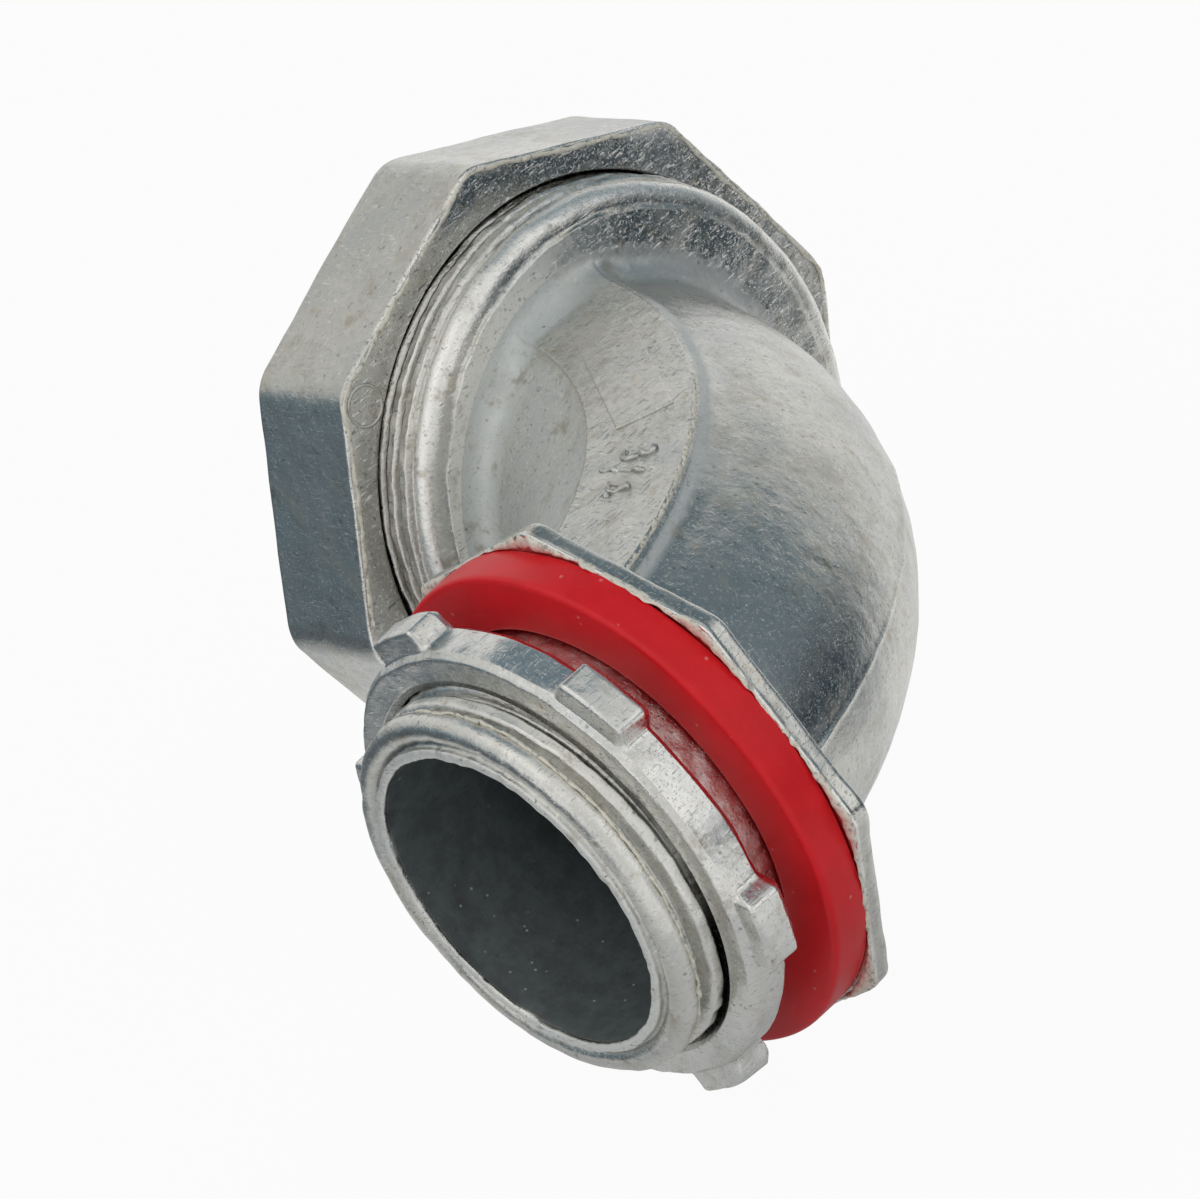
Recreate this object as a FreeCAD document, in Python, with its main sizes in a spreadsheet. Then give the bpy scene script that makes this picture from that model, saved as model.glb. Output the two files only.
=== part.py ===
import FreeCAD, Part
import math
import os
from types import SimpleNamespace
import Sketcher

# Liquidtight elbow connector, 3/4 trade size.
# Every body is drawn about the elbow centre, the point where the conduit axis meets the hub axis:
# local X runs out along the conduit axis, local Y out along the hub axis, local Z out of one flank.
# One placement turns all of them into the shared frame, whose origin is the centre of the hub
# in the plane of the washer's sealing face.

OCTAGON = 0.5411961  # circumradius of an octagon for one unit across its flats
LUGS = 6
NEAR = 0.001  # how close an edge lies to the face or corner that it belongs to
ARC_MIDDLE = 0.293  # how far the middle of a quarter round lies from its corner, in radii
CLEAR_OF_TUBE = 2.5  # how wide a trimming cut reaches, in tube radii

# Driving dimensions in millimetres, and two angles whose notes say degrees.
DIMENSIONS = (
    ("bend_radius", 39.0, "centreline of the curved tube"),
    ("tube_radius", 12.3, "outside of the curved tube"),
    ("tube_wall", 2.5, "wall of the curved tube"),
    ("pad_half_width", 3.6, "flat pad on each flank, from the centreline"),
    ("pad_rise", 0.65, "flat pad above the tube"),
    ("plate_length", 16.2, "raised blank plate on one pad"),
    ("plate_width", 4.0, "raised blank plate on one pad"),
    ("plate_rise", 0.3, "raised blank plate above its pad"),
    ("plate_turn", 33.2, "plate centre round the bend from the collar's end, degrees"),
    ("plate_inset", 0.45, "plate centre inside the centreline of the bend"),
    ("flange_reach", 29.9, "elbow centre to the front of the flange"),
    ("flange_thickness", 1.4, "octagonal flange"),
    ("flange_flats", 34.3, "octagonal flange across its flats"),
    ("flange_corner", 1.6, "rounding of the flange's corners"),
    ("flange_fillet", 0.8, "tube into the flange"),
    ("hub_length", 11.8, "hub in front of the flange"),
    ("hub_radius", 13.2, "crest of the hub thread"),
    ("hub_taper", 0.2, "loss of radius at the tip of the hub"),
    ("hub_tip_length", 2.9, "tapered tip of the hub"),
    ("hub_step", 0.3, "length of the step down to the tip"),
    ("hub_wall", 2.75, "hub thread crest to the throat"),
    ("throat_depth", 9.7, "straight throat of the hub"),
    ("lip_width", 1.05, "flat lip at the end of the hub"),
    ("lip_slope", 1.0, "length of the slope behind the lip"),
    ("conduit_radius", 13.35, "outside of the conduit that the fitting takes"),
    ("conduit_play", 0.25, "nut's mouth around the conduit"),
    ("ring_slack", 0.5, "compression ring around the conduit"),
    ("ring_nose_wall", 1.25, "ring where it enters the collar"),
    ("ring_nose_play", 0.4, "ring inside the collar"),
    ("ring_nose_bevel", 0.4, "bevel at the ring's tip"),
    ("ring_entry", 1.4, "depth of the ring inside the collar"),
    ("ring_gap", 0.3, "collar's end to the ring's flange"),
    ("ring_flange_step", 0.6, "ring's flange inside the collar thread's crest"),
    ("ring_flange_width", 1.1, "flange of the ring"),
    ("ring_tail", 1.8, "cone of the ring beyond its flange"),
    ("ring_tail_wall", 1.35, "wall at the ring's far end"),
    ("ring_play", 0.3, "nut's inner cone around the ring"),
    ("collar_back", 30.1, "elbow centre to the back face of the collar"),
    ("collar_length", 11.9, "collar from its back face to its open end"),
    ("collar_wall", 3.0, "collar thread's crest to its bore"),
    ("collar_shoulder", 1.2, "collar's back face inside the thread's crest"),
    ("collar_band", 1.5, "smooth band behind the collar thread"),
    ("band_round", 0.35, "rounding of the smooth band"),
    ("collar_bevel", 0.6, "bevel at the collar's open end"),
    ("collar_fillet", 1.0, "tube into the collar"),
    ("socket_depth", 8.5, "collar's end to the shoulder inside it"),
    ("thread_play", 0.25, "nuts and washer around the thread crests"),
    ("nut_gap", 4.3, "collar's back face to the gland nut"),
    ("nut_flat_length", 9.0, "length of the nut's flats"),
    ("nut_wall", 2.05, "nut's thread bore to its flats"),
    ("nut_corner", 3.0, "rounding of the nut's corners"),
    ("nut_bevel", 0.9, "bevel at the nut's thread bore"),
    ("nose_step", 1.2, "nut's round nose inside its flats"),
    ("nose_root", 0.8, "straight root of the nose"),
    ("nose_bevel", 0.6, "bevel at the end of the nose"),
    ("nose_rim", 3.0, "end face of the nose around the mouth"),
    ("mouth_length", 2.4, "nut's mouth for the conduit"),
    ("mouth_bevel", 0.5, "bevel at the mouth"),
    ("ferrule_seat", 0.05, "play between the ferrule and its shoulder"),
    ("ferrule_play", 0.08, "ferrule inside the collar"),
    ("ferrule_wall", 0.9, "cup of the ferrule"),
    ("ferrule_clear", 2.05, "rim of the cup to the compression ring"),
    ("sleeve_step", 0.1, "sleeve's bore inside the curved passage"),
    ("sleeve_wall", 0.7, "sleeve of the ferrule"),
    ("sleeve_bevel", 0.3, "bevel at the sleeve's end"),
    ("sleeve_proud", 2.2, "sleeve beyond the collar's end"),
    ("washer_thickness", 2.9, "sealing washer"),
    ("washer_width", 3.75, "sealing washer from its bore to its rim"),
    ("washer_round", 0.6, "rounded front rim of the washer"),
    ("washer_gap", 0.03, "play between the washer and the flange"),
    ("locknut_gap", 2.5, "washer's front to the locknut"),
    ("locknut_thickness", 3.0, "locknut"),
    ("locknut_wall", 2.15, "locknut's thread bore to its rim"),
    ("locknut_sink", 0.65, "countersink at each face of the locknut"),
    ("locknut_bevel", 0.3, "bevel of the locknut's rim"),
    ("lug_height", 1.5, "locknut lug above the rim"),
    ("lug_width", 5.0, "locknut lug at its tip"),
    ("lug_flare", 0.35, "widening of each side of the lug at its root"),
    ("lug_thickness", 2.6, "locknut lug along the hub"),
    ("lug_turn", 10.0, "first lug from the conduit direction, degrees"),
    ("root", 0.9, "depth that an added form reaches into what carries it"),
)

doc = FreeCAD.newDocument("elbow_connector")
sheet = doc.addObject("Spreadsheet::Sheet", "sizes")


class Size:
    """A number together with the expression that drives it."""

    def __init__(self, value, text):
        self.value = value
        self.text = text

    def join(self, other, sign, value):
        right = other.text if isinstance(other, Size) else repr(other)
        return Size(value, "(" + self.text + " " + sign + " " + right + ")")

    def __add__(self, other):
        return self.join(other, "+", self.value + number(other))

    def __sub__(self, other):
        return self.join(other, "-", self.value - number(other))

    def __mul__(self, other):
        return self.join(other, "*", self.value * number(other))

    def __truediv__(self, other):
        return self.join(other, "/", self.value / number(other))

    def sine(self):
        return Size(math.sin(math.radians(self.value)), "sin(%s * 1 deg)" % self.text)

    def cosine(self):
        return Size(math.cos(math.radians(self.value)), "cos(%s * 1 deg)" % self.text)


def number(item):
    return item.value if isinstance(item, Size) else item


def fill_sheet():
    named = {}
    for row, (alias, start, note) in enumerate(DIMENSIONS, 1):
        sheet.set("A%d" % row, alias)
        sheet.set("B%d" % row, repr(start))
        sheet.set("C%d" % row, note)
        sheet.setAlias("B%d" % row, alias)
        named[alias] = Size(start, "sizes." + alias)
    doc.recompute()
    return SimpleNamespace(**named)


d = fill_sheet()

# Radii and places that follow from the driving dimensions.
passage_radius = d.tube_radius - d.tube_wall
pad_height = d.tube_radius + d.pad_rise
hub_end = d.flange_reach + d.hub_length
hub_tip_start = hub_end - d.hub_tip_length
hub_tip_radius = d.hub_radius - d.hub_taper
throat_radius = d.hub_radius - d.hub_wall
washer_front = d.flange_reach + d.washer_thickness
locknut_back = washer_front + d.locknut_gap
ring_inner = d.conduit_radius + d.ring_slack
ring_nose_radius = ring_inner + d.ring_nose_wall
collar_bore = ring_nose_radius + d.ring_nose_play
collar_radius = collar_bore + d.collar_wall
collar_back_radius = collar_radius - d.collar_shoulder
collar_end = d.collar_back + d.collar_length
collar_seat = collar_end - d.socket_depth
ring_tip = collar_end - d.ring_entry
ring_flange = collar_end + d.ring_gap
ring_cone = ring_flange + d.ring_flange_width
ring_end = ring_cone + d.ring_tail
ring_flange_radius = collar_radius - d.ring_flange_step
ring_end_radius = ring_inner + d.ring_tail_wall
nut_back = d.collar_back + d.nut_gap
nut_far = nut_back + d.nut_flat_length
nut_bore = collar_radius + d.thread_play
nut_flats = (nut_bore + d.nut_wall) * 2
mouth_radius = d.conduit_radius + d.conduit_play
mouth_start = ring_end + d.ring_play
nut_end = mouth_start + d.mouth_length
beyond = d.bend_radius * 2


def new_body(label):
    body = doc.addObject("PartDesign::Body", label)
    body.Label = label
    turn = FreeCAD.Rotation(FreeCAD.Vector(0, 0, 1), 180)
    body.Placement = FreeCAD.Placement(FreeCAD.Vector(0, washer_front.value, 0), turn)
    drive(body, "Placement.Base.y", washer_front)
    return body


def drive(feature, path, item):
    feature.setExpression(path, item.text)


def origin_part(body, role):
    return next(item for item in body.Origin.OriginFeatures if item.Role == role)


def attach(feature, body, role):
    feature.AttachmentSupport = [(origin_part(body, role), "")]
    feature.MapMode = "FlatFace"


def hold(sketch, kind, line, end, item):
    """Hold a point of the sketch at a driven distance, or on the axis for a plain zero."""
    if not isinstance(item, Size):
        axis = -2 if kind == "DistanceX" else -1
        sketch.addConstraint(Sketcher.Constraint("PointOnObject", line, end, axis))
        return
    index = sketch.addConstraint(Sketcher.Constraint(kind, -1, 1, line, end, item.value))
    drive(sketch, "Constraints[%d]" % index, item)


def closed_lines(sketch, places):
    """A closed run of straight lines through the places, joined at their ends."""
    count = len(places)
    for index in range(count):
        sketch.addGeometry(Part.LineSegment(places[index], places[(index + 1) % count]), False)
    for index in range(count):
        sketch.addConstraint(Sketcher.Constraint("Coincident", index, 2, (index + 1) % count, 1))


def outline(body, name, points):
    """A closed outline of straight lines through driven points of the middle plane."""
    sketch = body.newObject("Sketcher::SketchObject", name)
    attach(sketch, body, "XY_Plane")
    closed_lines(sketch, [FreeCAD.Vector(number(x), number(y), 0) for x, y in points])
    for index, (x, y) in enumerate(points):
        hold(sketch, "DistanceX", index, 1, x)
        hold(sketch, "DistanceY", index, 1, y)
    return sketch


def spin(body, kind, name, axis, points):
    """Turn an outline once around an axis of the body, to add or to remove material."""
    sketch = outline(body, name + "_outline", points)
    feature = body.newObject("PartDesign::" + kind, name)
    feature.Profile = sketch
    feature.ReferenceAxis = (origin_part(body, axis), [""])
    feature.Angle = 360
    return feature


def octagon(body, name, role, flats, height, offset):
    prism = body.newObject("PartDesign::AdditivePrism", name)
    attach(prism, body, role)
    prism.Polygon = 8
    drive(prism, "Circumradius", flats * OCTAGON)
    drive(prism, "Height", height)
    drive(prism, "AttachmentOffset.Base.z", offset)
    return prism


def bend(body, kind, name, radius):
    """A quarter ring around the bend axis, from the conduit axis to the hub axis."""
    ring = body.newObject("PartDesign::" + kind, name)
    attach(ring, body, "XY_Plane")
    ring.Angle1 = -180
    ring.Angle2 = 180
    ring.Angle3 = 90
    turn = FreeCAD.Rotation(FreeCAD.Vector(0, 0, 1), 180)
    ring.AttachmentOffset = FreeCAD.Placement(FreeCAD.Vector(1, 1, 0), turn)
    drive(ring, "AttachmentOffset.Base.x", d.bend_radius)
    drive(ring, "AttachmentOffset.Base.y", d.bend_radius)
    drive(ring, "Radius1", d.bend_radius)
    drive(ring, "Radius2", radius)
    return ring


def round_edges(body, name, radius, test):
    """Round the edges all of whose points pass the test, in the body's own coordinates."""
    doc.recompute()
    base = body.Tip
    inward = body.Placement.inverse()
    names = []
    for index, edge in enumerate(body.Shape.Edges, 1):
        if all(test(inward.multVec(point)) for point in edge.discretize(5)):
            names.append("Edge%d" % index)
    feature = body.newObject("PartDesign::Fillet", name)
    feature.Base = (base, names)
    drive(feature, "Radius", radius)
    doc.recompute()
    return feature


def on_circle(radius, along=None, across=None):
    """A point of a circle about the bend axis with one coordinate known."""
    middle = d.bend_radius.value
    if along is not None:
        return FreeCAD.Vector(along, middle - (radius ** 2 - (middle - along) ** 2) ** 0.5, 0)
    return FreeCAD.Vector(middle - (radius ** 2 - (middle - across) ** 2) ** 0.5, across, 0)


def arc_between(radius, first, last):
    """The arc about the bend axis from one point counter-clockwise to another."""
    centre = FreeCAD.Vector(d.bend_radius.value, d.bend_radius.value, 0)
    circle = Part.Circle(centre, FreeCAD.Vector(0, 0, 1), radius)
    return Part.ArcOfCircle(circle, circle.parameter(first), circle.parameter(last))


def add_flank_pads(elbow):
    """A flat pad on each flank: a band along the bend, from inside the collar to inside the flange."""
    sketch = elbow.newObject("Sketcher::SketchObject", "pad_outline")
    attach(sketch, elbow, "XY_Plane")
    inner = d.bend_radius - d.pad_half_width
    outer = d.bend_radius + d.pad_half_width
    far = d.collar_back + d.root
    low = d.flange_reach - d.flange_thickness / 2
    outer_low = on_circle(outer.value, across=low.value)
    outer_far = on_circle(outer.value, along=far.value)
    inner_far = on_circle(inner.value, along=far.value)
    inner_low = on_circle(inner.value, across=low.value)
    sketch.addGeometry(arc_between(outer.value, outer_low, outer_far), False)
    sketch.addGeometry(Part.LineSegment(outer_far, inner_far), False)
    sketch.addGeometry(arc_between(inner.value, inner_low, inner_far), False)
    sketch.addGeometry(Part.LineSegment(inner_low, outer_low), False)
    for line, end, other, other_end in ((0, 2, 1, 1), (1, 2, 2, 2), (2, 1, 3, 1), (3, 2, 0, 1), (0, 3, 2, 3)):
        sketch.addConstraint(Sketcher.Constraint("Coincident", line, end, other, other_end))
    sketch.addConstraint(Sketcher.Constraint("Vertical", 1))
    sketch.addConstraint(Sketcher.Constraint("Horizontal", 3))
    hold(sketch, "DistanceX", 0, 3, d.bend_radius)
    hold(sketch, "DistanceY", 0, 3, d.bend_radius)
    hold(sketch, "DistanceX", 1, 1, far)
    hold(sketch, "DistanceY", 3, 1, low)
    for arc, radius in ((0, outer), (2, inner)):
        index = sketch.addConstraint(Sketcher.Constraint("Radius", arc, radius.value))
        drive(sketch, "Constraints[%d]" % index, radius)
    pads = elbow.newObject("PartDesign::Pad", "flank_pads")
    pads.Profile = sketch
    pads.SideType = "Symmetric"
    drive(pads, "Length", pad_height * 2)


def add_blank_plate(elbow):
    """A raised blank plate on the upper pad, square to the bend's radius."""
    sketch = elbow.newObject("Sketcher::SketchObject", "plate_outline")
    attach(sketch, elbow, "XY_Plane")
    long_way = FreeCAD.Rotation(FreeCAD.Vector(0, 0, 1), 180 - d.plate_turn.value)
    sketch.AttachmentOffset = FreeCAD.Placement(FreeCAD.Vector(0, 0, 1), long_way)
    arm = d.bend_radius - d.plate_inset
    drive(sketch, "AttachmentOffset.Base.x", d.bend_radius - arm * d.plate_turn.sine())
    drive(sketch, "AttachmentOffset.Base.y", d.bend_radius - arm * d.plate_turn.cosine())
    drive(sketch, "AttachmentOffset.Base.z", pad_height - d.pad_rise / 2)
    drive(sketch, "AttachmentOffset.Rotation.Angle", d.plate_turn * -1 + 180)
    long_half = d.plate_length.value / 2
    wide_half = d.plate_width.value / 2
    signs = ((-1, -1), (1, -1), (1, 1), (-1, 1))
    closed_lines(sketch, [FreeCAD.Vector(x * long_half, y * wide_half, 0) for x, y in signs])
    for line, direction in enumerate(("Horizontal", "Vertical", "Horizontal", "Vertical")):
        sketch.addConstraint(Sketcher.Constraint(direction, line))
    sketch.addConstraint(Sketcher.Constraint("Symmetric", 0, 1, 1, 2, -1, 1))
    for line, item in ((0, d.plate_length), (1, d.plate_width)):
        index = sketch.addConstraint(Sketcher.Constraint("Distance", line, item.value))
        drive(sketch, "Constraints[%d]" % index, item)
    plate = elbow.newObject("PartDesign::Pad", "blank_plate")
    plate.Profile = sketch
    drive(plate, "Length", d.plate_rise + d.pad_rise / 2)


def flange_corner(point):
    away = math.hypot(point.x, point.z)
    behind = d.flange_reach.value - d.flange_thickness.value
    return abs(away - d.flange_flats.value * OCTAGON) < NEAR and point.y > behind - NEAR


def tube_at_collar(point):
    away = math.hypot(point.y, point.z)
    return abs(point.x - d.collar_back.value) < NEAR and away < collar_back_radius.value - NEAR


def tube_at_flange(point):
    away = math.hypot(point.x, point.z)
    behind = d.flange_reach.value - d.flange_thickness.value
    return abs(point.y - behind) < NEAR and away < d.flange_flats.value / 2 - NEAR


def nut_corner(point):
    return math.hypot(point.y, point.z) > nut_flats.value * OCTAGON - NEAR


def make_elbow():
    """One casting: the curved tube, flank pads, octagonal flange, threaded hub and collar."""
    elbow = new_body("elbow_body")
    bend(elbow, "AdditiveTorus", "tube", d.tube_radius)
    wide = d.tube_radius * CLEAR_OF_TUBE
    hub_start = d.flange_reach - d.flange_thickness / 2
    collar_start = d.collar_back + d.root
    spin(elbow, "Groove", "hub_trim", "Y_Axis", (
        (0, hub_start), (wide, hub_start), (wide, beyond), (0, beyond)))
    spin(elbow, "Groove", "collar_trim", "X_Axis", (
        (collar_start, 0), (beyond, 0), (beyond, wide), (collar_start, wide)))
    add_flank_pads(elbow)
    octagon(elbow, "flange", "XZ_Plane", d.flange_flats, d.flange_thickness, d.flange_reach * -1)
    round_edges(elbow, "flange_corners", d.flange_corner, flange_corner)
    spin(elbow, "Revolution", "hub", "Y_Axis", (
        (0, hub_start),
        (d.hub_radius, hub_start),
        (d.hub_radius, hub_tip_start - d.hub_step),
        (hub_tip_radius, hub_tip_start),
        (hub_tip_radius, hub_end - d.lip_slope),
        (throat_radius + d.lip_width, hub_end),
        (0, hub_end),
    ))
    band_end = d.collar_back + d.collar_band
    spin(elbow, "Revolution", "collar", "X_Axis", (
        (d.collar_back, 0),
        (collar_end, 0),
        (collar_end, collar_radius - d.collar_bevel),
        (collar_end - d.collar_bevel, collar_radius),
        (band_end + d.band_round, collar_radius),
        (band_end, collar_radius - d.band_round),
        (d.collar_back + d.band_round, collar_back_radius + d.band_round),
        (d.collar_back, collar_back_radius),
    ))
    round_edges(elbow, "collar_fillets", d.collar_fillet, tube_at_collar)
    round_edges(elbow, "flange_fillets", d.flange_fillet, tube_at_flange)
    add_blank_plate(elbow)
    bend(elbow, "SubtractiveTorus", "passage", passage_radius)
    spin(elbow, "Groove", "throat", "Y_Axis", (
        (0, hub_end - d.throat_depth),
        (throat_radius, hub_end - d.throat_depth),
        (throat_radius, beyond),
        (0, beyond),
    ))
    spin(elbow, "Groove", "socket", "X_Axis", (
        (collar_seat, 0),
        (beyond, 0),
        (beyond, collar_bore + d.collar_bevel),
        (collar_end, collar_bore + d.collar_bevel),
        (collar_end - d.collar_bevel, collar_bore),
        (collar_seat, collar_bore),
    ))
    return elbow


def make_gland_nut():
    """Octagon with rounded corners, a round nose, the thread bore, an inner cone and the conduit's mouth."""
    nut = new_body("gland_nut")
    octagon(nut, "flats", "YZ_Plane", nut_flats, d.nut_flat_length, nut_back)
    round_edges(nut, "flat_corners", d.nut_corner, nut_corner)
    nose_radius = nut_flats / 2 - d.nose_step
    nose_tip = mouth_radius + d.nose_rim
    spin(nut, "Revolution", "nose", "X_Axis", (
        (nut_far - d.nose_root, 0),
        (nut_end, 0),
        (nut_end, nose_tip - d.nose_bevel),
        (nut_end - d.nose_bevel, nose_tip),
        (nut_far + d.nose_root, nose_radius),
        (nut_far - d.nose_root, nose_radius),
    ))
    cone_start = ring_cone + d.ring_play
    spin(nut, "Groove", "nut_inside", "X_Axis", (
        (nut_back - d.nut_bevel, 0),
        (nut_back - d.nut_bevel, nut_bore + d.nut_bevel),
        (nut_back + d.nut_bevel / 3, nut_bore),
        (cone_start, nut_bore),
        (cone_start, ring_flange_radius + d.ring_play),
        (mouth_start, ring_end_radius + d.ring_play),
        (mouth_start, mouth_radius),
        (nut_end - d.mouth_bevel, mouth_radius),
        (nut_end + d.mouth_bevel, mouth_radius + d.mouth_bevel * 2),
        (nut_end + d.mouth_bevel, 0),
    ))
    return nut


def make_compression_ring():
    """A ring tapered at both ends, between the collar and the nut's inner cone."""
    ring = new_body("compression_ring")
    spin(ring, "Revolution", "ring_solid", "X_Axis", (
        (ring_tip, ring_inner),
        (ring_end, ring_inner),
        (ring_end, ring_end_radius),
        (ring_cone, ring_flange_radius),
        (ring_flange, ring_flange_radius),
        (ring_flange, ring_nose_radius),
        (ring_tip + d.ring_nose_bevel, ring_nose_radius),
        (ring_tip, ring_nose_radius - d.ring_nose_bevel),
    ))
    return ring


def make_ferrule():
    """A cup on the collar's shoulder with a sleeve that goes inside the conduit."""
    ferrule = new_body("ferrule")
    start = collar_seat + d.ferrule_seat
    inside = passage_radius - d.sleeve_step
    outside = inside + d.sleeve_wall
    rim = collar_bore - d.ferrule_play
    rim_end = ring_tip - d.ferrule_clear
    sleeve_end = collar_end + d.sleeve_proud
    spin(ferrule, "Revolution", "ferrule_solid", "X_Axis", (
        (start, inside),
        (sleeve_end, inside),
        (sleeve_end, outside - d.sleeve_bevel),
        (sleeve_end - d.sleeve_bevel * 3, outside),
        (start + d.ferrule_wall, outside),
        (start + d.ferrule_wall, rim - d.ferrule_wall),
        (rim_end, rim - d.ferrule_wall),
        (rim_end, rim),
        (start, rim),
    ))
    return ferrule


def make_sealing_washer():
    """A flat ring with a rounded front rim, against the flange."""
    washer = new_body("sealing_washer")
    back = d.flange_reach + d.washer_gap
    inner = d.hub_radius + d.thread_play
    outer = inner + d.washer_width
    spin(washer, "Revolution", "washer_solid", "Y_Axis", (
        (inner, back),
        (outer, back),
        (outer, washer_front - d.washer_round),
        (outer - d.washer_round * ARC_MIDDLE, washer_front - d.washer_round * ARC_MIDDLE),
        (outer - d.washer_round, washer_front),
        (inner, washer_front),
    ))
    return washer


def make_locknut():
    """A ring with countersunk faces and evenly spaced lugs around its rim."""
    locknut = new_body("locknut")
    front = locknut_back + d.locknut_thickness
    inner = d.hub_radius + d.thread_play
    outer = inner + d.locknut_wall
    spin(locknut, "Revolution", "locknut_ring", "Y_Axis", (
        (inner + d.locknut_sink, locknut_back),
        (outer, locknut_back),
        (outer, front - d.locknut_bevel),
        (outer - d.locknut_bevel, front),
        (inner + d.locknut_sink, front),
        (inner, front - d.locknut_sink),
        (inner, locknut_back + d.locknut_sink),
    ))
    sketch = locknut.newObject("Sketcher::SketchObject", "lug_outline")
    attach(sketch, locknut, "XZ_Plane")
    sketch.AttachmentOffset = FreeCAD.Placement(
        FreeCAD.Vector(0, 0, -1), FreeCAD.Rotation(FreeCAD.Vector(0, 0, 1), 0))
    drive(sketch, "AttachmentOffset.Base.z", locknut_back * -1)
    drive(sketch, "AttachmentOffset.Rotation.Angle", d.lug_turn)
    foot = outer - d.root
    tip = outer + d.lug_height
    tip_half = d.lug_width / 2
    foot_half = tip_half + d.lug_flare
    closed_lines(sketch, [
        FreeCAD.Vector(foot.value, foot_half.value, 0),
        FreeCAD.Vector(foot.value, -foot_half.value, 0),
        FreeCAD.Vector(tip.value, -tip_half.value, 0),
        FreeCAD.Vector(tip.value, tip_half.value, 0),
    ])
    sketch.addConstraint(Sketcher.Constraint("Symmetric", 0, 1, 0, 2, -1))
    sketch.addConstraint(Sketcher.Constraint("Symmetric", 2, 1, 2, 2, -1))
    hold(sketch, "DistanceX", 0, 1, foot)
    hold(sketch, "DistanceX", 2, 1, tip)
    hold(sketch, "DistanceY", 0, 1, foot_half)
    hold(sketch, "DistanceY", 3, 1, tip_half)
    lug = locknut.newObject("PartDesign::Pad", "lug")
    lug.Profile = sketch
    lug.Reversed = True
    drive(lug, "Length", d.lug_thickness)
    lugs = locknut.newObject("PartDesign::PolarPattern", "lugs")
    lugs.Originals = [lug]
    lugs.Axis = (origin_part(locknut, "Y_Axis"), [""])
    lugs.Angle = 360
    lugs.Occurrences = LUGS
    locknut.Tip = lugs
    return locknut


bodies = (
    make_elbow(),
    make_gland_nut(),
    make_compression_ring(),
    make_ferrule(),
    make_sealing_washer(),
    make_locknut(),
)
doc.recompute()

for item in doc.Objects:
    if "Invalid" in item.State or "Error" in item.State:
        raise RuntimeError("%s is in state %s" % (item.Name, item.State))
for body in bodies:
    shape = body.Shape
    if shape.isNull() or not shape.isValid() or len(shape.Solids) != 1:
        raise RuntimeError("%s has no sound solid" % body.Label)

os.makedirs("parts", exist_ok=True)
for body in bodies:
    body.Shape.exportStep("parts/%s.step" % body.Label)
    box = body.Shape.BoundBox
    corners = (box.XMin, box.YMin, box.ZMin, box.XMax, box.YMax, box.ZMax)
    print(body.Label, "volume", round(body.Shape.Volume, 1), "box", [round(x, 2) for x in corners])
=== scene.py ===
import math

import bpy
import numpy as np
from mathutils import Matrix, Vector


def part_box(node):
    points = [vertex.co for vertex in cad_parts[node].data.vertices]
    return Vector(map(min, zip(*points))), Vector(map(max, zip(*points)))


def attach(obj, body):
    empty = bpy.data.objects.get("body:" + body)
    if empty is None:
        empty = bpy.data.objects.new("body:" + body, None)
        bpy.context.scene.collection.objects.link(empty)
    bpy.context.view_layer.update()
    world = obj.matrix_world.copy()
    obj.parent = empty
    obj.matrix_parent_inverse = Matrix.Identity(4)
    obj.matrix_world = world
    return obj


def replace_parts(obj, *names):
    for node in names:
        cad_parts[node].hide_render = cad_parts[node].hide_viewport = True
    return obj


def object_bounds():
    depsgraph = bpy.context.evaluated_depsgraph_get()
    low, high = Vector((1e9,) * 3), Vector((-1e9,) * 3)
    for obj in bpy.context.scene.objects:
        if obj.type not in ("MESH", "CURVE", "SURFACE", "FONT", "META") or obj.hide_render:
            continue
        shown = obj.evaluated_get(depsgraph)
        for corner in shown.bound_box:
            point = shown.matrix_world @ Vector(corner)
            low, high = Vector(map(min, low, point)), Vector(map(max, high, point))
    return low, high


# Looks of a right-angle die-cast conduit fitting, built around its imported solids.
# Shapes are worked out in millimetres and put into the meshes in metres.

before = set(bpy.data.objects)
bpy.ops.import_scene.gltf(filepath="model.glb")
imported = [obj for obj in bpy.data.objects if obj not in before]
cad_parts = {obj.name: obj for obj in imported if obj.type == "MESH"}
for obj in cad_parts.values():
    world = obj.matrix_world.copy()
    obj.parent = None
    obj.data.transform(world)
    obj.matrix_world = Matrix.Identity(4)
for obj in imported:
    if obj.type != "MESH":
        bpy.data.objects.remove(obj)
cad_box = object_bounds()

MM = 0.001
TAU = 2 * math.pi


def corners_of(node):
    """Lowest and highest corner of a solid, in millimetres."""
    low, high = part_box(node)
    return np.array(low) / MM, np.array(high) / MM


elbow_low, _ = corners_of("elbow_body")
nut_low, nut_high = corners_of("gland_nut")
washer_low, washer_high = corners_of("sealing_washer")
locknut_low, locknut_high = corners_of("locknut")
ring_low, ring_high = corners_of("compression_ring")
ferrule_low, ferrule_high = corners_of("ferrule")

# Places along the two axes, read from the solids. The hub axis is x = 0 and the conduit axis y = CONDUIT_Y.
CONDUIT_Y = (nut_low[1] + nut_high[1]) / 2
HUB_END = elbow_low[1]
COLLAR_END = -elbow_low[0]
NUT_BACK = -nut_high[0]
NUT_END = -nut_low[0]
LOCKNUT_FRONT = locknut_low[1]
LOCKNUT_BACK = locknut_high[1]
WASHER_RIM = washer_high[2]
WASHER_BACK = washer_high[1]

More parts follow.
